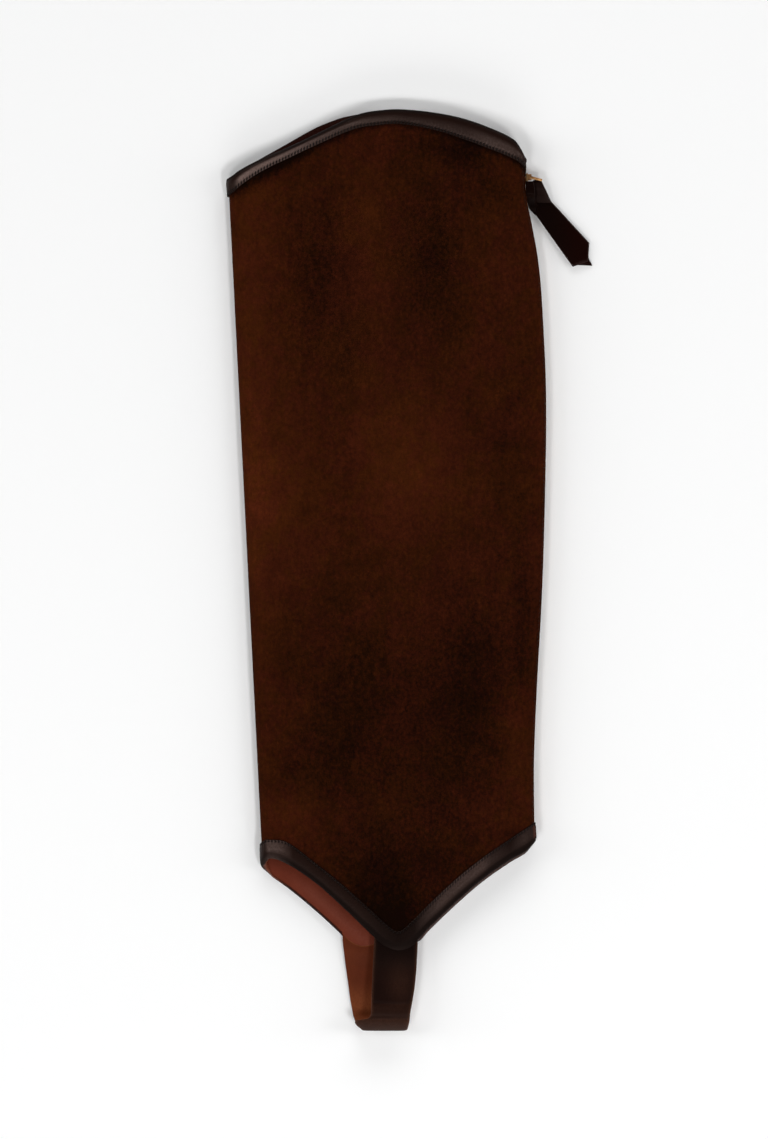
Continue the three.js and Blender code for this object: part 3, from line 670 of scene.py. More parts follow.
def smooth_leather(name, colour, worn_and_lit_colour, roughness, pebble, crease, strength, ruddy=0.3, **constants):
    """Grained, unevenly dyed leather.

    Its marks say where it is worn and painted lighter as a highlight, where painted shade
    darkens it, and where it is ruddy or raw.
    """
    material, n, shader = new_material(name, roughness, **constants)
    grain = n.place_group(GRAIN, {
        "Pebble Size": pebble, "Crease Size": crease, "Crease Strength": 0.35})
    dye = n.place_group(UNEVEN, {"Cloud Size": 38.0, "Blotch Size": 7.0, "Fleck Size": 1.0})
    deep = deepened(colour, 0.62)
    base = n.blend(n.spread(dye.outputs["Blotches"], 0, 1, 0.0, 0.55), colour, deep)
    base = n.blend(n.math("MULTIPLY", dye.outputs["Clouds"], ruddy),
                   base, n.blend(1.0, base, WARM, "MULTIPLY"))
    # Painted shade: the grain's hollows are darkened.
    base = n.blend(n.math("MULTIPLY", grain.outputs["Hollows"], 0.45), base, deep)
    base = n.blend(n.mark("ruddy"), base, n.blend(1.0, base, RUDDY, "MULTIPLY"))
    base = n.blend(n.mark("tan"), base, RAW)
    # The shade mark is painted shade, darkening the base towards a deep tone.
    base = n.blend(n.mark("shade"), base, deepened(colour, 0.25))
    # The wear mark is partly real wear and partly painted highlight, lightening the base.
    wear = n.math("MULTIPLY", n.mark("wear"), n.spread(dye.outputs["Flecks"], 0, 1, 0.5, 1.3),
                  clamp=True)
    base = n.blend(wear, base, worn_and_lit_colour)
    n.feed(shader.inputs["Base Color"], base)
    rough = n.math("ADD", roughness - 0.03, n.math("MULTIPLY", grain.outputs["Hollows"], 0.08))
    rough = n.math("ADD", rough, n.math("MULTIPLY", dye.outputs["Blotches"], 0.05))
    rough = n.math("ADD", rough, n.math("MULTIPLY", n.mark("shade"), 0.45))
    n.feed(shader.inputs["Roughness"], rough)
    bump(n, shader, grain.outputs["Height"], 0.12, strength)
    return material


def thread_material(name, colour):
    """Waxed, twisted thread."""
    material, n, shader = new_material(name, 0.6, Specular_IOR_Level=0.25)
    where = n.object_place()
    twist = n.noise(where, 0.35, 1.0, 0.5)
    dark = deepened(colour, 0.55)
    n.feed(shader.inputs["Base Color"], n.blend(n.spread(twist, 0.35, 0.65), dark, colour))
    bump(n, shader, twist, 0.1, 0.5)
    return material


def tape_material():
    """Herringbone zip tape, from millimetres across and along it."""
    material, n, shader = new_material("zip_tape_weave", 0.85, Specular_IOR_Level=0.2,
                                       Sheen_Weight=0.15, Sheen_Roughness=0.4)
    rib_pitch, cord_pitch = 0.8, 0.7
    u, v = n.mark("across_mm"), n.mark("along_mm")
    zigzag = n.math("PINGPONG", n.math("MULTIPLY", u, 0.5), 1.0)
    ribs = n.math("SINE", n.math("MULTIPLY", n.math("ADD", v, zigzag), 2 * math.pi / rib_pitch))
    cords = n.math("SINE", n.math("MULTIPLY", u, 2 * math.pi / cord_pitch))
    height = n.weighted(ribs, 0.5, cords, 0.3)
    # Painted shade: the weave is darker in the hollows between its ribs and cords, lighter on them.
    light = n.spread(height, -0.7, 0.7)
    n.feed(shader.inputs["Base Color"], n.blend(light, srgb(17, 10, 7), srgb(44, 28, 20)))
    bump(n, shader, height, 0.12, 0.6)
    return material


def brass_material():
    """Lacquered brass, dulled in places and finely scratched."""
    material, n, shader = new_material("aged_brass", 0.32, Metallic=1.0)
    where = n.object_place()
    dull = n.spread(n.noise(where, 3.0, 4.0, 0.6), 0.35, 0.7)
    scratch = n.noise(n.object_place(stretch=(1.0, 9.0, 3.0)), 0.9, 2.0, 0.6)
    colour = n.blend(dull, srgb(240, 188, 128), srgb(196, 138, 86))
    n.feed(shader.inputs["Base Color"], colour)
    n.feed(shader.inputs["Roughness"], n.spread(dull, 0, 1, 0.36, 0.52))
    bump(n, shader, scratch, 0.05, 0.25)
    return material


SUEDE_NAP = suede_material()
WARM_GLOSS = (1.0, 0.72, 0.64, 1.0)
DARK_LEATHER = smooth_leather(
    "dark_binding_leather", srgb(33, 20, 16), srgb(104, 86, 80), 0.25, 1.0, 11.0, 0.42,
    Specular_IOR_Level=0.13, Specular_Tint=WARM_GLOSS)
STRAP_LEATHER = smooth_leather(
    "dark_strap_leather", srgb(25, 13, 10), srgb(78, 49, 36), 0.36, 0.8, 8.0, 0.35,
    Specular_IOR_Level=0.06, Specular_Tint=WARM_GLOSS)
TAB_LEATHER = smooth_leather(
    "dark_tab_leather", srgb(16, 6, 4), srgb(56, 38, 35), 0.34, 0.6, 5.0, 0.30,
    Specular_IOR_Level=0.05, Specular_Tint=WARM_GLOSS)
TAN_LEATHER = smooth_leather("tan_lining_leather", srgb(114, 51, 34), srgb(128, 70, 56), 0.5,
                             0.7, 14.0, 0.22, Specular_IOR_Level=0.06)
TAN_STRAP = smooth_leather("tan_strap_leather", srgb(95, 42, 20), srgb(132, 74, 42), 0.5,
                           0.7, 9.0, 0.25, ruddy=0.25, Specular_IOR_Level=0.06)
DARK_THREAD = thread_material("dark_thread", srgb(22, 13, 10))
TAPE_WEAVE = tape_material()
BRASS = brass_material()


# ---- Suede and lining ----------------------------------------------------------------------------
PANEL_STEP, LINING_STEP = 2.5, 4.0
PANEL_INSET = BINDING + 0.6  # the suede stops this far inside a binding's rim
PAINTED_LIGHT_ON_LINING = {"below": 8.5, "wide": 4.5}  # painted light: a paler band on the lining, below the near foot edge
STRAP_EASE = 1.5  # over this length a panel's edge turns up to clear the strap's end


def even(length, step):
    return np.linspace(0, length, max(2, round(length / step) + 1))


def nap_tone(wrap, y):
    """The brushed patches, on each layer, the far layer's lying elsewhere, less a painted shadow
    just below the top binding.
    """
    x = fold_centre(wrap.run[:, None], y)
    tone = np.zeros(y.shape)
    for px, py, wide, high, shade in zip(*NAP_PATCHES.values()):
        near = oval(x - px, y - py, wide, high)
        far = oval(x + px, y - py * 0.9 + 12, wide, high)
        tone += shade * mix(near, far, wrap.far[:, None])
    across = wrap.across(wrap.top)
    darker, reach = (np.interp(across, SHADOW_UNDER_TOP_BAND["across"], SHADOW_UNDER_TOP_BAND[key])[:, None]
                     for key in ("darker", "reach"))
    # Painted shadow just below the top binding.
    below = np.clip(wrap.top_band[:, None] - y, 0, None)
    return tone - darker * bell(below, reach)


def panel(name, wrap, low, high, depth, thickness, step, material, bulge, **marks):
    """A closed sheet round the wrap, from low to high; each mark is a rule of y."""
    rows = even(high.max() - low.min(), step) / (high.max() - low.min())
    y = mix(low[:, None], high[:, None], rows[None, :])
    face = wrap.recess(y) + depth
    outer, inner = wrap.place(y, face), wrap.place(y, face + thickness)
    made = {mark: values(y) for mark, values in marks.items()}
    return shell(name, outer, inner, material, bulge=bulge, marks=made)


def suede_panel():
    wrap = Wrap(even(Wrap.GIRTH, PANEL_STEP))
    strap = wrap.in_strap(STRAP_EASE)
    low = wrap.foot + mix(PANEL_INSET * wrap.stretch(wrap.foot), TUCK + 0.9, strap)
    high = wrap.top - PANEL_INSET * wrap.stretch(wrap.top)
    return panel("suede", wrap, low, high, 0.0, SUEDE, PANEL_STEP, SUEDE_NAP, 0.35,
                 tone=lambda y: nap_tone(wrap, y))


def lining_panel():
    arc = Wrap.ARC * 0.98  # it stops where the zip's tapes begin
    wrap = Wrap(np.linspace(arc, Wrap.GIRTH - arc, round((Wrap.GIRTH - 2 * arc) / LINING_STEP)))
    strap = wrap.in_strap(STRAP_EASE)
    low = wrap.foot + mix(0.9, SEAM + 0.1, strap)
    high = wrap.top - INNER_LEAF + 1.5

    across = wrap.across(wrap.foot)[:, None]
    near_edge = near_foot(across)

    # Painted light on the far lining, a paler band below the near foot edge.
    def wear(y):
        middle = bell(near_edge - y - PAINTED_LIGHT_ON_LINING["below"], PAINTED_LIGHT_ON_LINING["wide"])
        return 0.4 * middle * smoothstep(across, 0.08, 0.2) * wrap.far[:, None]

    # Painted shade on the far lining, darker just under the near foot binding.
    def shade(y):
        under_band = np.exp(-np.clip(near_edge - y, 0, None) / 3.0)
        return 0.3 * under_band * wrap.far[:, None] * (y < 0)

    return panel("leg_lining", wrap, low, high, LINING_DEPTH - LEAF_DEPTH, LINING, LINING_STEP,
                 TAN_LEATHER, 0.2, wear=wear, shade=shade)


# ---- Bindings ------------------------------------------------------------------------------------
# A binding's section, from its cut edge over its face, round the rim and back. A row is measured
# from the band's edge, along its width or from the rim; pinch is how far a stitch pulls it in, and
# inward and outward are its moves where the face leans to the suede or to the rim. The last two
# columns are its place where the strap passes through and the binding is one leaf.
BAND_EDGE, SPAN, RIM = 0, 1, 2


def band_section(row_at, lip):
    """The section of a binding with its stitches that far from its edge, and that inner leaf."""
    face = [
        (BAND_EDGE, 0.00, 1.26, 0.00, 0.00, 0.00),
        (BAND_EDGE, -0.08, 0.85, 0.02, 0.00, 0.00),
        (BAND_EDGE, 0.10, 0.42, 0.04, 0.00, 0.00),
        (BAND_EDGE, row_at * 0.30, 0.20, 0.05, 0.00, -0.04),
        (BAND_EDGE, row_at * 0.60, 0.24, 0.10, 0.04, -0.08),
        (BAND_EDGE, row_at * 0.85, 0.36, 0.34, 0.06, -0.10),
        (BAND_EDGE, row_at, 0.40, 0.46, 0.06, -0.14),
        (BAND_EDGE, row_at + 0.40, 0.30, 0.44, 0.06, -0.40),
        (BAND_EDGE, row_at + 0.9, 0.16, 0.34, 0.14, -0.60),
        (BAND_EDGE, row_at + 1.7, 0.00, 0.12, 0.12, -0.44),
        (SPAN, 0.48, -0.12, 0.03, -0.16, 0.24),
        (SPAN, 0.60, -0.16, 0.0, -0.44, 0.62),
        (SPAN, 0.71, -0.12, 0.0, -0.46, 0.70),
    ]
    rim = [
        (2.0, 0.05, -0.34, 0.58), (1.2, 0.30, -0.14, 0.46), (0.55, 0.82, 0.0, 0.20),
        (0.15, 1.45, 0, 0), (0.0, 2.1, 0, 0), (0.10, 2.8, 0, 0), (0.38, 3.45, 0, 0),
        (0.75, 3.9, 0, 0), (lip - 0.5, 4.14, 0, 0), (lip - 0.15, 4.1, 0, 0), (lip, 3.95, 0, 0),
        (lip - 0.1, 3.82, 0, 0), (1.0, 3.82, 0, 0), (0.75, 3.5, 0, 0), (0.75, 1.3, 0, 0),
        (1.3, 1.05, 0, 0),
    ]
    leaf = [
        (2.0, 0.10), (1.2, 0.16), (0.55, 0.24), (0.15, 0.38), (0.0, 0.6), (0.12, 0.84),
        (0.4, 0.96), (0.8, 1.0), (1.3, 1.02), (1.8, 1.02), (2.3, 1.03), (2.8, 1.03), (3.3, 1.04),
        (3.8, 1.04), (4.3, 1.05), (4.8, 1.05),
    ]
    back = [(SPAN, 0.5, 1.08, 0, 0, 0), (BAND_EDGE, 0.5, 1.2, 0, 0, 0)]
    rows = [(*row, row[1], row[2]) for row in face]
    rows += [(RIM, at, depth, 0, inward, outward, *opened)
             for (at, depth, inward, outward), opened in zip(rim, leaf)]
    rows += [(*row, row[1], row[2]) for row in back]
    return columns_of("origin at depth pinch inward outward open_at open_depth", rows)


STITCH_PHASES = 4  # columns of a binding to each stitch
TOP_ROW, FOOT_ROW = 1.1, 0.9  # of stitches, from the band's edge
STITCH_PITCH = 2.05
RAW_END, RAW_REACH = 1.4, 1.2  # the tan raw end beside the zip, by its girth
# The rim is rounded less round the shin fold: where on the turn, over how much of it, by how much.
SHIN_SQUARE = {"angle": 205, "spread": 62, "part": 0.7}


def along_row(edge_name, row, sign):
    """Girths at even steps of a stitch row's own length, and the number of stitches."""
    girth = np.linspace(0, Wrap.GIRTH, 4000)
    wrap = Wrap(girth)
    band, rim = wrap.band_and_rim(edge_name)
    length = lengths_along(wrap.place(band + sign * row * wrap.stretch(rim), np.zeros_like(band)))
    stitches = round(length[-1] / STITCH_PITCH)
    steps = np.linspace(0, 1, stitches * STITCH_PHASES + 1)
    return np.interp(steps * length[-1], length, girth), stitches


def binding(name, edge_name, row, sign, lip, finish_table):
    girth, _ = along_row(edge_name, row, sign)
    wrap = Wrap(girth)
    band, rim = wrap.band_and_rim(edge_name)
    stretch, across = wrap.stretch(rim)[:, None], wrap.across(rim)
    band, rim = band[:, None], rim[:, None]
    section = {key: value[None, :] for key, value in band_section(row, lip).items()}
    near = 1 - wrap.far
    finish = {key: (np.interp(across, finish_table["across"], value) * near)[:, None]
              for key, value in finish_table.items()}
    open_here = wrap.in_strap()[:, None] if edge_name == "foot" else np.zeros_like(band)
    origin = section["origin"]
    at = mix(section["at"], section["open_at"], open_here)
    depth = section["depth"] + section["inward"] * finish["inward"]
    depth = depth + section["outward"] * finish["outward"]
    outer_rim = (origin == RIM) & (section["depth"] < 2.2)
    square = bell(wrap.angle[:, None] - SHIN_SQUARE["angle"], SHIN_SQUARE["spread"]) * outer_rim
    depth = depth * (1 - SHIN_SQUARE["part"] * square)
    depth = mix(depth, section["open_depth"], open_here * (origin == RIM))
    phase = np.arange(len(girth))[:, None] / STITCH_PHASES
    pull = 0.5 - 0.5 * np.cos(2 * math.pi * phase)  # 1 where a stitch pulls the leather in
    depth = depth + section["pinch"] * pull
    depth = np.where(depth < 0, depth * (1 - wrap.rest[:, None]), depth)
    y = np.where(origin == BAND_EDGE, band + sign * at * stretch,
                 np.where(origin == SPAN, mix(band, rim, at), rim - sign * at * stretch))
    marks = band_marks(section, wrap, row, finish, pull, edge_name == "foot")
    return swept(name, wrap.place(y, depth), DARK_LEATHER, marks=marks, sharp=60)


def band_marks(section, wrap, row, finish, pull, at_foot):
    """Where painted shade darkens the binding, where painted highlights and wear lighten it, where
    it is ruddy, and where tan raw ends show.
    """
    at, origin, depth = section["at"], section["origin"], section["depth"]
    on_edge, on_span, on_rim = origin == BAND_EDGE, origin == SPAN, origin == RIM
    outside = depth < 1.1
    cut_edge = on_edge & (at < 0.15) & outside
    pucker = on_edge & (at > -0.04) & (at < row + 0.6) & outside
    face = (on_edge & (at > 0.15) & outside) + on_span * outside * np.clip((0.66 - at) * 8, 0, 1)
    far = wrap.far[:, None]
    # Painted shade: a dark line along the foot binding's near rim, above the far lip.
    near_rim_line = (on_span & (at > 0.65) & outside) * 0.5 + (on_rim & outside & (at > 0.5)) * 0.9
    rim = on_rim * (depth < 3.6) * np.clip((2.6 - at) / 1.8, 0, 1)
    leaf = on_rim & (depth > 3.4)
    across = wrap.across(wrap.foot)[:, None]
    at_fold = at_foot * (1 - smoothstep(across, 0.03, 0.11)) * (on_rim & (depth > 2.3))
    near_end = np.abs(wrap.girth - RAW_END) < RAW_REACH
    zip_end = near_end[:, None] * (on_span | on_edge & (at > row))
    lip = leaf * far * smoothstep(across, 0.52, 0.58) * at_foot
    # shade is painted shade in the stitches' valleys, along the cut edge, round the rim and where
    # the finish darkens it; wear is painted highlight on the face, the puckers, the cut edge and
    # the rim, and makes the far lip lighter.
    marks = {
        "shade": 0.6 * cut_edge + 0.9 * rim * (1 - finish["rim"]) * (1 - at_fold) * (1 - 0.7 * lip)
                 + near_rim_line * (1 - far) * (1 - 2 * finish["rim"]) * at_foot
                 + 0.85 * finish["dark"] * (1 - at_fold) + 0.75 * pucker * pull,
        "wear": finish["edge"] * cut_edge * (1 - pull) + finish["rim"] * rim * 0.6 + 0.3 * lip
                + finish["pale"] * face * (1 + 0.3 * pucker * (1 - pull)) * (1 - pucker * pull),
        "ruddy": 0.8 * leaf * far,
        "tan": at_fold + 0.55 * zip_end * at_foot,
    }
    full = np.ones(np.broadcast(pull, at).shape)
    return {mark: np.clip(values * full, 0, 1) for mark, values in marks.items()}


# ---- Strap ---------------------------------------------------------------------------------------
strap_centre = smooth_curve(STRAP_BEND["turn"], STRAP_BEND["centre"])
strap_half = smooth_curve(STRAP_BEND["turn"], STRAP_BEND["half"])
BEND_CREASES = np.radians([-86, 4, 94, 184])  # the bend is pressed towards flat between these
PRESSED = 0.75  # from 0, a circle, to 1, flats
STRAP_ACROSS = 20
STRAP_STEP = 1.0
STRAP_ROLL = 0.28  # the share of its thickness that is rubbed off at a cut edge
STRAP_ROLL_POWER = 14  # the higher, the nearer to the edge that this stays
NEAR_CREASES = columns_of("y deep wide", [
    (-259.8, 0.34, 0.7), (-267.6, 0.30, 0.6), (-247.0, 0.12, 3.0),
])


def bend_radius(angle):
    """The bend's radius: a circle, pressed part of the way to flats between its creases."""
    i = np.clip(np.searchsorted(BEND_CREASES, angle) - 1, 0, len(BEND_CREASES) - 2)
    low, high = BEND_CREASES[i], BEND_CREASES[i + 1]
    middle, half = (low + high) / 2, (high - low) / 2
    flat = BEND["radius"] * np.cos(half) / np.cos(angle - middle)
    return mix(BEND["radius"], flat, PRESSED)


def layer_point(x, y, far, depth):
    """A point so far under a layer's face."""
    height = 2 * half_height(run_at(x, y))
    return np.array([x, y, depth if far else float(height) - depth])


def foot_edge_at(x, far):
    """The height of a layer's foot edge at x, found by trial."""
    y = float(near_foot(0.5))
    for _ in range(6):
        across = (x - shin_line(y)) / (calf_line(y) - shin_line(y))
        y = float((far_foot if far else near_foot)(across))
    return y


def strap_line(side, tuck):
    """One lengthwise line of the strap's outer face; side is -1 at its left and 1 at its right."""
    def end(name, far):
        left, right = STRAP[name]
        x = (left + right) / 2 + side * (right - left) / 2
        foot = foot_edge_at(x, far)
        return [layer_point(x, y, far, LEAF_DEPTH) for y in (foot + tuck, foot - SEAM)]

    def along(table):
        return [np.array([c + side * h, y, z]) for y, z, c, h in zip(*table.values())]

    bend = []
    for turn in np.linspace(0, 1, BEND["steps"] + 1):
        angle = math.pi * turn
        radius = float(bend_radius(np.array(angle)))
        bend.append(np.array([
            strap_centre(turn) + side * strap_half(turn),
            BEND["y"] - radius * math.sin(angle),
            BEND["radius"] + radius * math.cos(angle),
        ], float))
    down, up = end("near", 0) + along(STRAP_DOWN), along(STRAP_UP) + end("far", 1)[::-1]
    return np.array(down + bend + up)


def strap_ply(name, tuck, depth, thickness, material):
    sides = np.linspace(-1, 1, STRAP_ACROSS + 1)
    lines = [strap_line(side, tuck) for side in sides]
    count = max(round(line_length(line) / STRAP_STEP) for line in lines)
    lines = np.array([softened(resampled(line, count), 3) for line in lines])
    inward = square_to(lines)
    rolled = STRAP_ROLL * thickness * np.abs(sides[:, None]) ** STRAP_ROLL_POWER
    trough = np.zeros(lines.shape[:2])
    near_run = lines[..., 2] > BEND["radius"]
    for crease_y, deep, wide in zip(*NEAR_CREASES.values()):
        bowed = crease_y + 0.5 * np.sin(2.2 * sides[:, None] + crease_y)
        trough += deep * bell(lines[..., 1] - bowed, wide) * near_run
    outer = lines + inward * (depth + rolled + trough)[..., None]
    inner = lines + inward * (depth + thickness - rolled * 0.8 + trough * 0.5)[..., None]
    marks = strap_marks(lines, near_run, sides, material)
    return shell(name, outer, inner, material, bulge=0.18, marks=marks)


def strap_marks(lines, near_run, sides, material):
    """Painted highlights down the near run and along the lining's seam, painted shade under the
    foot binding, the bend's bottom facet worn and painted lighter, a little lighter above it, worn
    edges, and the tan lighter lower down.
    """
    x, y = lines[..., 0], lines[..., 1]
    if material == TAN_STRAP:
        # Painted highlight on the seam's ridge; the tan is also lighter towards its lower end.
        seam = (y[:, -1:] - y < 0.8) & ~near_run
        return {"wear": np.clip(0.55 * seam + 0.45 * smoothstep(-y, 244, 262), 0, 1)}
    # The bend's bottom facet is lighter, partly worn and partly painted light.
    facet = smoothstep(-y, 268.2, 269.2)
    above = smoothstep(-y, 259.2, 260.4) * (1 - facet)
    # A painted highlight patch down the near run.
    painted_highlight_patch = near_run * oval(y + 248, x - 5.5, 11, 7.5)
    edge = near_run * np.abs(sides[:, None]) ** 22
    # shade is painted shade, darker towards the upper end where the strap goes under the foot
    # binding.
    return {
        "wear": np.clip(0.32 * facet + 0.12 * above + 0.20 * painted_highlight_patch + 0.5 * edge, 0, 1),
        "shade": np.clip(0.6 * smoothstep(y, -242, -228), 0, 1),
    }


# ---- Zip -----------------------------------------------------------------------------------------
TAPE_OUT, TAPE, TAPE_EDGE = 3.7, 1.0, 1.1
ZIP_FOOT, ZIP_TOP, CHAIN_TOP = -157.0, 236.5, 231.0
ZIP_STEP = 3.0


def zip_line(y, out, side):
    """A line up the calf edge: so far out from the fold's centre, and to the near side of it."""
    return np.stack(np.broadcast_arrays(fold_centre(0, y) + out, y, CALF_RADIUS + side), -1)


def zip_tape(name, sign):
    y = np.linspace(ZIP_FOOT, ZIP_TOP, round((ZIP_TOP - ZIP_FOOT) / ZIP_STEP))

    def face(out, radius):
        bend = math.acos(out / radius)
        flat = [(out, s) for s in np.linspace(TAPE_EDGE, radius * math.sin(bend), 5)]
        turns = [mix(bend, math.radians(80), k / 5) for k in range(1, 6)]
        curved = [(radius * math.cos(t), radius * math.sin(t)) for t in turns]
        return np.stack([zip_line(y, x, sign * s) for x, s in flat + curved])

    radius = CALF_RADIUS - LINING_DEPTH
    outer, inner = face(TAPE_OUT, radius), face(TAPE_OUT - TAPE, radius - TAPE)
    bead = 0.35 * (np.arange(len(outer)) == 0)  # the corded inner edge
    outer[..., 0] += bead[:, None]
    marks = {"across_mm": lengths_along(outer[:, 0])[:, None], "along_mm": y[None, :]}
    return shell(name, outer, inner, TAPE_WEAVE, bulge=0.3, marks=marks)


def rounded_node(node_name, new_name, width_mm, material):
    """A node's mesh with its edges rounded; the node itself isn't touched."""
    work = bmesh.new()
    work.from_mesh(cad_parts[node_name].data)
    bmesh.ops.remove_doubles(work, verts=work.verts, dist=1e-6)
    bmesh.ops.dissolve_limit(work, angle_limit=math.radians(2), verts=work.verts, edges=work.edges)
    corner = math.radians(40)
    edges = [e for e in work.edges
             if len(e.link_faces) == 2 and e.calc_face_angle(0) > corner]
    bmesh.ops.bevel(work, geom=edges, offset=width_mm * MM, segments=3, profile=0.5,
                    affect="EDGES", clamp_overlap=True)
    bmesh.ops.triangulate(work, faces=[f for f in work.faces if len(f.verts) > 4])
    mesh = mesh_of(work, new_name, 35)
    mesh.materials.clear()
    mesh.materials.append(material)
    return add_object(new_name, mesh)


# ---- Leather zip pull ----------------------------------------------------------------------------
TAB_PLY = 1.4
LOOP_LEFT, LOOP_RIGHT = (85.0, 232.5), (90.2, 233.6)
LOOP_LEFT_END, LOOP_RIGHT_END = (86.6, 220.8), (96.5, 220.6)
LOOP_FOLD_RADIUS, LOOP_FOLD_Z = 1.6, 6.9
LOOP_UPPER = [(1.0, 4.5), (0.7, 5.9), (0.35, 7.8)]  # part of the way down, and height
LOOP_LOWER = [(0.3, 4.4), (0.55, 2.8), (0.72, 2.0)]
PLATE_LIFT = 0.2
PLATE_GRID = (26, 44)  # steps across and along each flat ply
TURN_LOW = 0.4  # the turned part's underside, above the lower tail's
TAB_BEVEL = 0.22  # the share of a ply's thickness that is rubbed off under its edge
GROOVE_WIDTH = 0.28

TURN_SIDES = {
    "left": [(80.6, 233.1), (80.9, 226.5), (81.5, 222.0), (83.4, 216.8), (87.0, 213.2)],
    "right": [(85.6, 233.1), (86.9, 221.0), (90.0, 216.0)],
    "top": [(80.6, 233.1), (85.6, 233.1)],
    "bottom": [(87.0, 213.2), (90.0, 216.0)],
}
TAIL_SIDES = {
    "left": [(87.0, 213.6), (109.3, 182.4)],
    "right": [(94.4, 223.4), (95.9, 222.0), (119.2, 196.6)],
    "top": [(87.0, 213.6), (87.2, 223.0), (94.4, 223.4)],
    "bottom": [(109.3, 182.4), (118.4, 185.6), (119.2, 196.6)],
}
UNDER_SIDES = {
    "left": [(89.2, 213.4), (110.6, 183.6)],
    "right": [(94.8, 219.4), (118.6, 196.2)],
    "top": [(89.2, 213.4), (89.4, 218.4), (94.8, 219.4)],
    "bottom": [(110.6, 183.6), (121.2, 183.0), (118.8, 187.6), (118.6, 196.2)],
}

# How high the strip's upper face is, down its length.
STRIP_TOP = columns_of("y z", [
    (216, 2.4), (219.5, 2.7), (222.2, 3.0), (224.3, 5.6), (228.3, 7.8), (232, 8.3),
])


def turn_rise(grid):
    """How high the turned part stands: over the slider at its top, and down to the tail."""
    y = grid[..., 1]
    return 9.0 * smoothstep(y, 218.0, 226.0) + 2.1 * smoothstep(y, 214.0, 222.0)


def turn_hang(grid):
    """How far the turned part's right edge reaches down, onto the strip beside it."""
    across = np.linspace(0, 1, grid.shape[0])[:, None]
    strip_top = np.interp(grid[..., 1], STRIP_TOP["y"], STRIP_TOP["z"])
    gap = PLATE_LIFT + TURN_LOW + turn_rise(grid) - strip_top + 0.6
    return np.clip(gap, 0, None) * smoothstep(across, 0.6, 0.95)


def patch(sides, across, along):
    """A grid of points filled in between four sides."""
    def side(name, count):
        line = np.array([(x, y, 0.0) for x, y in sides[name]], float)
        return resampled(line, count)

    top, bottom = side("top", across + 1), side("bottom", across + 1)
    left, right = side("left", along + 1), side("right", along + 1)
    u = np.linspace(0, 1, across + 1)[:, None, None]
    v = np.linspace(0, 1, along + 1)[None, :, None]
    ruled = mix(top[:, None], bottom[:, None], v) + mix(left[None, :], right[None, :], u)
    corners = mix(mix(top[0], top[-1], u), mix(bottom[0], bottom[-1], u), v)
    return ruled - corners


def distance_to_sides(points, sides):
    best = np.full(points.shape[:2], 1e9)
    for line in sides.values():
        line = np.array(line, float)
        for a, b in zip(line[:-1], line[1:]):
            d = b - a
            rel = points[..., :2] - a
            t = np.clip((rel @ d) / (d @ d), 0, 1)
            best = np.minimum(best, np.linalg.norm(rel - t[..., None] * d, axis=-1))
    return best


def leather_plate(name, sides, low, height, roundness, groove=None, lift=None, hang=None):
    """A flat leather ply with rubbed edges, painted lighter along them as a highlight, and, where
    asked, a creased line inside its edge.

    groove is how far in the line runs and how deep; lift raises the ply and hang thickens it
    downwards, each by a rule of the grid.
    """
    grid = patch(sides, *PLATE_GRID)
    far_in = distance_to_sides(grid, sides)
    inset = np.clip(far_in / roundness, 0, 1)
    dome = height * (1 - 0.5 * (1 - np.sqrt(np.clip(1 - (1 - inset) ** 2, 0, 1))))
    if groove:
        dome = dome - groove[1] * bell(far_in - groove[0], GROOVE_WIDTH)
    wave = 0.10 * np.sin(grid[..., 0] * 0.33 + grid[..., 1] * 0.21)
    raised = lift(grid) if lift else 0.0
    outer, inner = grid.copy(), grid.copy()
    outer[..., 2] = low + dome + raised + wave * inset * 0.5
    inner[..., 2] = low + TAB_BEVEL * height * (1 - inset) + raised
    if hang:
        inner[..., 2] -= hang(grid)
    # Painted highlight along the ply's cut edges.
    wear = 0.55 * bell(far_in, 0.35) * (1 if groove else 0.3)
    ruddy = 0.8 * smoothstep(grid[..., 0], 96, 114)
    return shell(name, outer, inner, TAB_LEATHER, bulge=0.12, sharp=55,
                 marks={"wear": wear, "ruddy": ruddy})


def pull_loop(name):
    """The strip folded over just below the bar, wider at its lower end."""
    def edge(start, end):
        start, end = np.array(start), np.array(end)

        def at(down, z):
            x, y = mix(start, end, down)
            return (x, y, z)

        over = []
        for turn in np.linspace(0, 1, 13):
            angle = math.pi * turn
            over.append((start[0], start[1] + LOOP_FOLD_RADIUS * math.sin(angle),
                         LOOP_FOLD_Z + LOOP_FOLD_RADIUS * math.cos(angle)))
        return np.array([at(*row) for row in LOOP_UPPER] + over + [at(*row) for row in LOOP_LOWER])

    count, across = 60, 12
    left = softened(resampled(edge(LOOP_LEFT, LOOP_LEFT_END), count), 2)
    right = softened(resampled(edge(LOOP_RIGHT, LOOP_RIGHT_END), count), 2)
    u = np.linspace(0, 1, across + 1)
    lines = left[None] + (right - left)[None] * u[:, None, None]
    inward = -square_to(lines)
    rolled = 0.3 * TAB_PLY * np.abs(2 * u - 1)[:, None] ** 8
    groove = 0.12 * (bell(u - 0.14, 0.05) + bell(u - 0.86, 0.05))[:, None]
    outer = lines + inward * (rolled + groove)[..., None]
    inner = lines + inward * (TAB_PLY - rolled * 0.8)[..., None]
    # Painted highlight: the strip slightly lighter all over and most along its right edge.
    wear = 0.22 * u[:, None] ** 10 + 0.08
    return shell(name, outer, inner, TAB_LEATHER, bulge=0.1, marks={"wear": wear}, sharp=55)


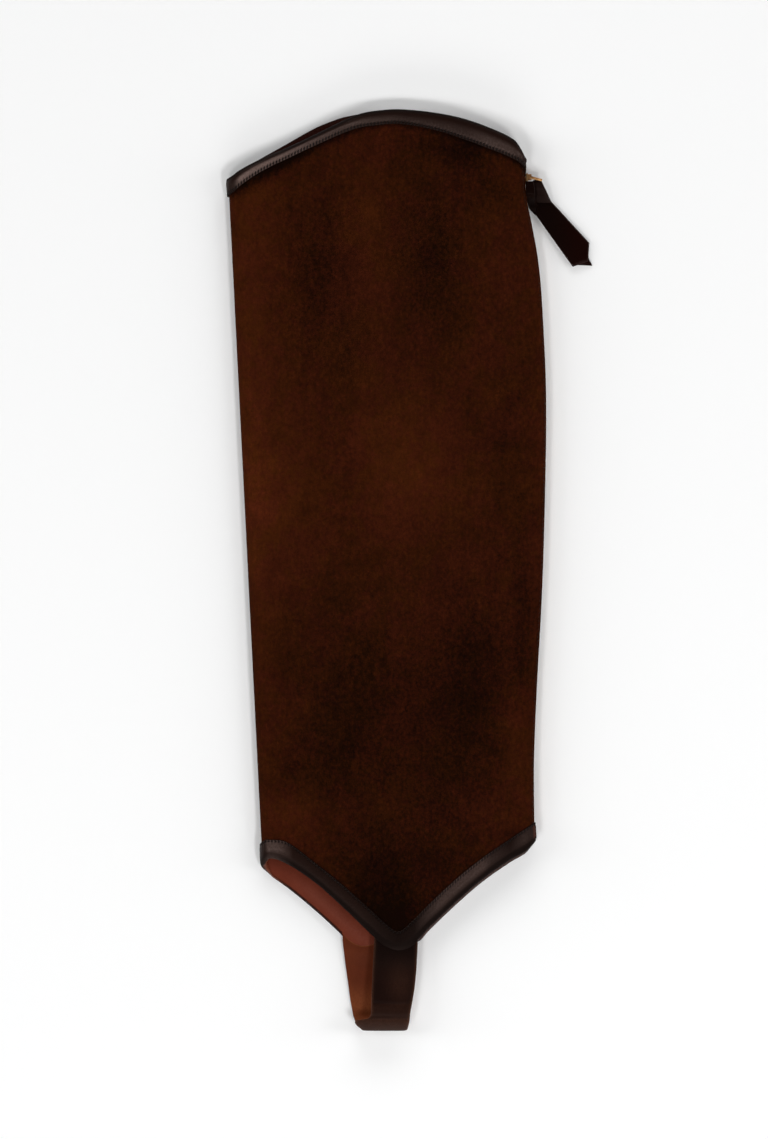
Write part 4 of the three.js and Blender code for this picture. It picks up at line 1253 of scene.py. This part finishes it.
# ---- Rules that repeat: stitches and zip teeth ---------------------------------------------------
def rule_tree(name, sizes):
    """An empty Geometry Nodes tree with named inputs."""
    tree = bpy.data.node_groups.new(name, "GeometryNodeTree")
    tree.interface.new_socket("Guide", in_out="INPUT", socket_type="NodeSocketGeometry")
    for socket, (kind, value) in sizes.items():
        made = tree.interface.new_socket(socket, in_out="INPUT", socket_type=kind)
        if value is not None:
            made.default_value = value
    tree.interface.new_socket("Result", in_out="OUTPUT", socket_type="NodeSocketGeometry")
    return tree, Nodes(tree), tree.nodes.new("NodeGroupInput"), tree.nodes.new("NodeGroupOutput")


def spaced_along(n, start):
    """Points along the guide, and the turn that lays +X along it and +Z off its surface."""
    curve = n.get("Curve", "GeometryNodeMeshToCurve", {"Mesh": start.outputs["Guide"]})
    points = n.get("Curve", "GeometryNodeResampleCurve", {
        "Curve": curve, "Count": start.outputs["Count"]})
    tangent = n.get("Tangent", "GeometryNodeInputTangent")
    facing = n.get("Attribute", "GeometryNodeInputNamedAttribute", {"Name": "facing"},
                   data_type="FLOAT_VECTOR")
    turn = n.get("Rotation", "FunctionNodeAxesToRotation", {
        "Primary Axis": tangent, "Secondary Axis": facing}, primary_axis="X", secondary_axis="Z")
    return points, turn


def turned_about_face(n, rotation, angle):
    about = n.get("Rotation", "FunctionNodeAxisAngleToRotation", {
        "Axis": (0, 0, 1), "Angle": angle})
    return n.get("Rotation", "FunctionNodeRotateRotation", {
        "Rotation": rotation, "Rotate By": about}, rotation_space="LOCAL")


def finish_rule(n, instances, material, end):
    real = n.get("Geometry", "GeometryNodeRealizeInstances", {"Geometry": instances})
    n.feed(end.inputs["Result"], n.get("Geometry", "GeometryNodeSetMaterial", {
        "Geometry": real, "Material": material}))


def stitch_tree():
    tree, n, start, end = rule_tree("stitches_along_a_seam", {
        "Count": ("NodeSocketInt", 100), "Stitch Length": ("NodeSocketFloat", 0.0011),
        "Thread Thickness": ("NodeSocketFloat", 0.0004), "Slant": ("NodeSocketFloat", 0.15),
        "Thread": ("NodeSocketMaterial", None)})
    points, turn = spaced_along(n, start)
    bead = n.get("Mesh", "GeometryNodeMeshUVSphere", {"Segments": 8, "Rings": 5, "Radius": 0.5})
    size = n.get("Vector", "ShaderNodeCombineXYZ", {
        "X": start.outputs["Stitch Length"], "Y": start.outputs["Thread Thickness"],
        "Z": start.outputs["Thread Thickness"]})
    shaped = n.get("Geometry", "GeometryNodeTransform", {"Geometry": bead, "Scale": size})
    smooth = n.get("Geometry", "GeometryNodeSetShadeSmooth", {"Geometry": shaped})
    placed = n.get("Instances", "GeometryNodeInstanceOnPoints", {
        "Points": points, "Instance": smooth,
        "Rotation": turned_about_face(n, turn, start.outputs["Slant"])})
    finish_rule(n, placed, start.outputs["Thread"], end)
    return tree


def teeth_tree():
    tree, n, start, end = rule_tree("teeth_along_a_zip", {
        "Count": ("NodeSocketInt", 100), "Tooth": ("NodeSocketObject", None),
        "Metal": ("NodeSocketMaterial", None)})
    points, turn = spaced_along(n, start)
    odd = n.math("MODULO", n.get("Index", "GeometryNodeInputIndex"), 2.0)
    other_side = turned_about_face(n, turn, n.math("MULTIPLY", odd, math.pi))
    tooth = n.get("Geometry", "GeometryNodeObjectInfo", {"Object": start.outputs["Tooth"]})
    placed = n.get("Instances", "GeometryNodeInstanceOnPoints", {
        "Points": points, "Instance": tooth, "Rotation": other_side})
    finish_rule(n, placed, start.outputs["Metal"], end)
    return tree


STITCHES = stitch_tree()
TEETH = teeth_tree()


def follow_rule(name, tree, lines, sizes, count_of, body):
    """Runs a rule along guide lines [(points, facing)] and keeps the result as a plain mesh."""
    meshes = []
    for points, facing in lines:
        guide_mesh = bpy.data.meshes.new("guide")
        edges = [(i, i + 1) for i in range(len(points) - 1)]
        guide_mesh.from_pydata((np.asarray(points) * MM).tolist(), edges, [])
        layer = guide_mesh.attributes.new("facing", "FLOAT_VECTOR", "POINT")
        layer.data.foreach_set("vector", np.asarray(facing, np.float32).ravel())
        guide = add_object("guide", guide_mesh)
        rule = guide.modifiers.new("rule", "NODES")
        rule.node_group = tree
        values = dict(sizes, Count=count_of(points))
        for item in tree.interface.items_tree:
            if item.item_type == "SOCKET" and item.in_out == "INPUT" and item.name in values:
                rule[item.identifier] = values[item.name]
        guide.update_tag()
        bpy.context.view_layer.update()
        graph = bpy.context.evaluated_depsgraph_get()
        meshes.append(bpy.data.meshes.new_from_object(guide.evaluated_get(graph), depsgraph=graph))
        bpy.data.objects.remove(guide)
    pieces = [add_object(name, mesh) for mesh in meshes]
    if len(pieces) > 1:
        with bpy.context.temp_override(active_object=pieces[0], selected_editable_objects=pieces,
                                       selected_objects=pieces, object=pieces[0]):
            bpy.ops.object.join()
    whole = pieces[0]
    whole.name = name
    whole.data.name = name
    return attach(whole, body)


def band_row(edge_name, row, sign, depth):
    """A stitch row on a binding, from the middle of its first stitch to the middle of its last."""
    girth, stitches = along_row(edge_name, row, sign)
    half = STITCH_PHASES // 2
    wrap = Wrap(girth[half:-half])
    band, rim = wrap.band_and_rim(edge_name)
    points = wrap.place(band + sign * row * wrap.stretch(rim), np.full_like(band, depth))
    return points, wrap.outward(), stitches


def zip_edge_row(angle):
    """A stitch row beside the zip, on one suede edge."""
    girth = math.radians(angle - SLOT_ANGLE) * CALF_RADIUS
    if angle > 180:
        girth = Wrap.GIRTH - math.radians(360 - SLOT_ANGLE - angle) * CALF_RADIUS
    wrap = Wrap([girth])
    y = np.linspace(float(wrap.foot_band[0]) + 1, float(wrap.top_band[0]) - 1, 300)
    rows = wrap.place(y[None, :], wrap.recess(y[None, :]) + 0.02)[0]
    facing = np.repeat(wrap.outward(), len(y), axis=0)
    return rows, facing


TOOTH_HEIGHT = 1.2


def tooth_shape():
    """One zip tooth: a rounded block with a narrow head that reaches past the middle."""
    half = [(0.55, 2.3), (0.62, 1.0), (0.46, 0.2), (0.42, -0.55)]
    outline = [(-0.55, 2.3)] + half + [(-x, y) for x, y in half[:0:-1]]
    work = bmesh.new()
    low, high = ([work.verts.new((x * MM, y * MM, z * MM)) for x, y in outline]
                 for z in (0, TOOTH_HEIGHT))
    count = len(outline)
    work.faces.new(low)
    work.faces.new(high[::-1])
    for i in range(count):
        j = (i + 1) % count
        work.faces.new((low[i], high[i], high[j], low[j]))
    bmesh.ops.recalc_face_normals(work, faces=work.faces)
    top = [e for e in work.edges if all(v.co.z > TOOTH_HEIGHT * MM / 2 for v in e.verts)]
    bmesh.ops.bevel(work, geom=top, offset=0.3 * MM, segments=2, profile=0.5, affect="EDGES")
    return add_object("tooth", mesh_of(work, "tooth", 50))


# ---- The object ----------------------------------------------------------------------------------
def dress(piece, body, slot, *nodes):
    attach(piece, body)
    if nodes:
        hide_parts(*nodes)
    return piece


suede = dress(suede_panel(), "gaiter", "suede", "suede_body")
lining = dress(lining_panel(), "gaiter", "tan_leather", "lining")
top_band = dress(binding("top_band", "top", TOP_ROW, 1, INNER_LEAF, TOP_FINISH), "gaiter",
                 "dark_leather", "top_binding")
foot_band = dress(binding("foot_band", "foot", FOOT_ROW, -1, LIP, FOOT_FINISH), "gaiter",
                  "dark_leather", "foot_binding")
strap = dress(strap_ply("foot_strap", TUCK, 0.0, STRAP_PLY, STRAP_LEATHER), "gaiter",
              "dark_leather", "strap")
strap_inside = dress(
    strap_ply("foot_strap_lining", SEAM, STRAP_PLY + PLY_GAP, STRAP_LINING, TAN_STRAP), "gaiter",
    "tan_leather", "strap_lining")
tape_near = dress(zip_tape("zip_tape_upper", 1), "gaiter", "zip_tape", "zip_tape_near")
tape_far = dress(zip_tape("zip_tape_lower", -1), "gaiter", "zip_tape", "zip_tape_far")
dress(rounded_node("slider", "zip_slider", 0.3, BRASS), "gaiter", "brass", "slider")
dress(rounded_node("puller", "zip_pull_bar", 0.15, BRASS), "pull", "brass", "puller")
dress(pull_loop("pull_loop_strip"), "pull", "dark_leather", "pull_loop")
dress(leather_plate("pull_turn", TURN_SIDES, PLATE_LIFT + TURN_LOW, 1.0, 0.5, lift=turn_rise,
                    hang=turn_hang), "pull", "dark_leather", "pull_wrap")
dress(leather_plate("pull_tail_upper", TAIL_SIDES, PLATE_LIFT + TAB_PLY + PLY_GAP, TAB_PLY, 0.6,
                    groove=(1.35, 0.2)), "pull", "dark_leather", "pull_tail")
dress(leather_plate("pull_tail_lower", UNDER_SIDES, PLATE_LIFT, TAB_PLY, 0.6), "pull",
      "dark_leather", "pull_tail_under")

# Stitches
BAND_SLANT = 1.05  # radians from the row to a stitch
EDGE_PITCH = 2.4
ZIP_ROW_ANGLES = (48.0, 312.0)


def stitched(name, rows, long, thick, slant, count_of):
    sizes = {"Stitch Length": long * MM, "Thread Thickness": thick * MM, "Slant": slant,
             "Thread": DARK_THREAD}
    follow_rule(name, STITCHES, rows, sizes, count_of, "gaiter")


for piece_name, edge_name, row, sign, long, thick, lies in (
    ("top_band_stitches", "top", TOP_ROW, 1, 2.7, 0.62, 0.36),
    ("foot_band_stitches", "foot", FOOT_ROW, -1, 1.9, 0.45, 0.40),
):
    points, facing, stitches = band_row(edge_name, row, sign, lies)
    stitched(piece_name, [(points, facing)], long, thick, BAND_SLANT, lambda _: stitches)
stitched("zip_edge_stitches", [zip_edge_row(angle) for angle in ZIP_ROW_ANGLES], 1.7, 0.34, 0.0,
         lambda points: round(line_length(points) / EDGE_PITCH))

# Zip teeth
TOOTH_PITCH, TEETH_OUT = 1.25, 3.95
tooth = tooth_shape()
chain_y = np.linspace(ZIP_FOOT + 1, CHAIN_TOP - 0.6, 260)
chain_line = zip_line(chain_y, TEETH_OUT, 0.0)
chain_facing = np.tile([1.0, 0.0, 0.0], (len(chain_y), 1))
teeth = follow_rule(
    "zip_teeth", TEETH, [(chain_line, chain_facing)], {"Tooth": tooth, "Metal": BRASS},
    lambda points: round(line_length(points) / TOOTH_PITCH), "gaiter")
bpy.data.objects.remove(tooth)
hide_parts("zip_chain")

# ---- Floor, lights and camera --------------------------------------------------------------------
FLOOR_REACH = 2.4  # metres
FLOOR_GLOW = {"from": 0.45, "full": 1.3, "most": 0.4}  # it stays pale away from the lights


def pale_floor():
    mesh = bpy.data.meshes.new("floor")
    level = -0.3 * MM  # just under the leather, so that they share no face
    corners = [(x * FLOOR_REACH, y * FLOOR_REACH, level)
               for x, y in ((-1, -1), (1, -1), (1, 1), (-1, 1))]
    mesh.from_pydata(corners, [], [(0, 1, 2, 3)])
    material, n, shader = new_material("pale_floor", 0.9, Specular_IOR_Level=0.1)
    shader.inputs["Base Color"].default_value = (0.98, 0.98, 0.98, 1.0)
    away = n.add("ShaderNodeVectorMath", operation="LENGTH")
    n.feed(away.inputs[0], n.object_place())
    shader.inputs["Emission Strength"].default_value = 1.0
    glow = n.spread(away.outputs["Value"], FLOOR_GLOW["from"], FLOOR_GLOW["full"],
                    0.0, FLOOR_GLOW["most"])
    n.feed(shader.inputs["Emission Color"], glow)
    mesh.materials.append(material)
    add_object("floor", mesh)


def soft_light(name, place, size, power, mirrored):
    """A rectangular panel aimed at the object; one that isn't mirrored only fills the shade."""
    light = bpy.data.lights.new(name, "AREA")
    light.shape = "RECTANGLE"
    light.size, light.size_y = size
    light.energy = power
    lamp = add_object(name, light)
    lamp.location = place
    lamp.rotation_euler = (-Vector(place)).to_track_quat("-Z", "Y").to_euler()
    lamp.visible_camera = False
    lamp.visible_glossy = mirrored


def studio_world():
    """Pale near the horizon and dark overhead, so that flat leather mirrors no white ceiling."""
    world = bpy.data.worlds.new("studio")
    bpy.context.scene.world = world
    world.use_nodes = True
    sky = world.node_tree.nodes["Background"]
    n = Nodes(world.node_tree)
    toward = n.get("Generated", "ShaderNodeTexCoord")
    height = n.get("Z", "ShaderNodeSeparateXYZ", {"Vector": toward})
    strength = n.spread(height, 0.06, 0.40, 0.98, 0.01)
    n.feed(sky.inputs["Strength"], strength)
    sky.inputs["Color"].default_value = (1.0, 1.0, 1.0, 1.0)


pale_floor()
studio_world()
for light_name, place, size, power, mirrored in (
    ("left_key", (-0.70, -1.20, 2.40), (0.5, 0.5), 15.0, True),
    ("right_key", (0.82, -1.14, 2.40), (0.5, 0.5), 20.0, True),
    ("left_side", (-3.0, 0.4, 1.5), (1.2, 3.0), 42.0, False),
    ("right_side", (3.0, 0.2, 1.5), (1.2, 3.0), 42.0, False),
    ("back", (0.3, 3.0, 1.6), (3.0, 1.2), 42.0, False),
    ("front", (0.0, -3.2, 1.5), (3.0, 1.0), 32.0, False),
):
    soft_light(light_name, place, size, power, mirrored)
bpy.context.scene.view_settings.view_transform = "Standard"

FRAME_HEIGHT = 683.4  # what the camera sees from top to bottom
LENS, SENSOR = 200.0, 36.0
LOOK_AT = (-4.2, 0.3, 10.0)
camera_data = bpy.data.cameras.new("camera")
camera_data.lens, camera_data.sensor_width = LENS, SENSOR
camera = add_object("camera", camera_data)
away = FRAME_HEIGHT * LENS / SENSOR
camera.location = (LOOK_AT[0] * MM, LOOK_AT[1] * MM, (LOOK_AT[2] + away) * MM)
bpy.context.scene.camera = camera
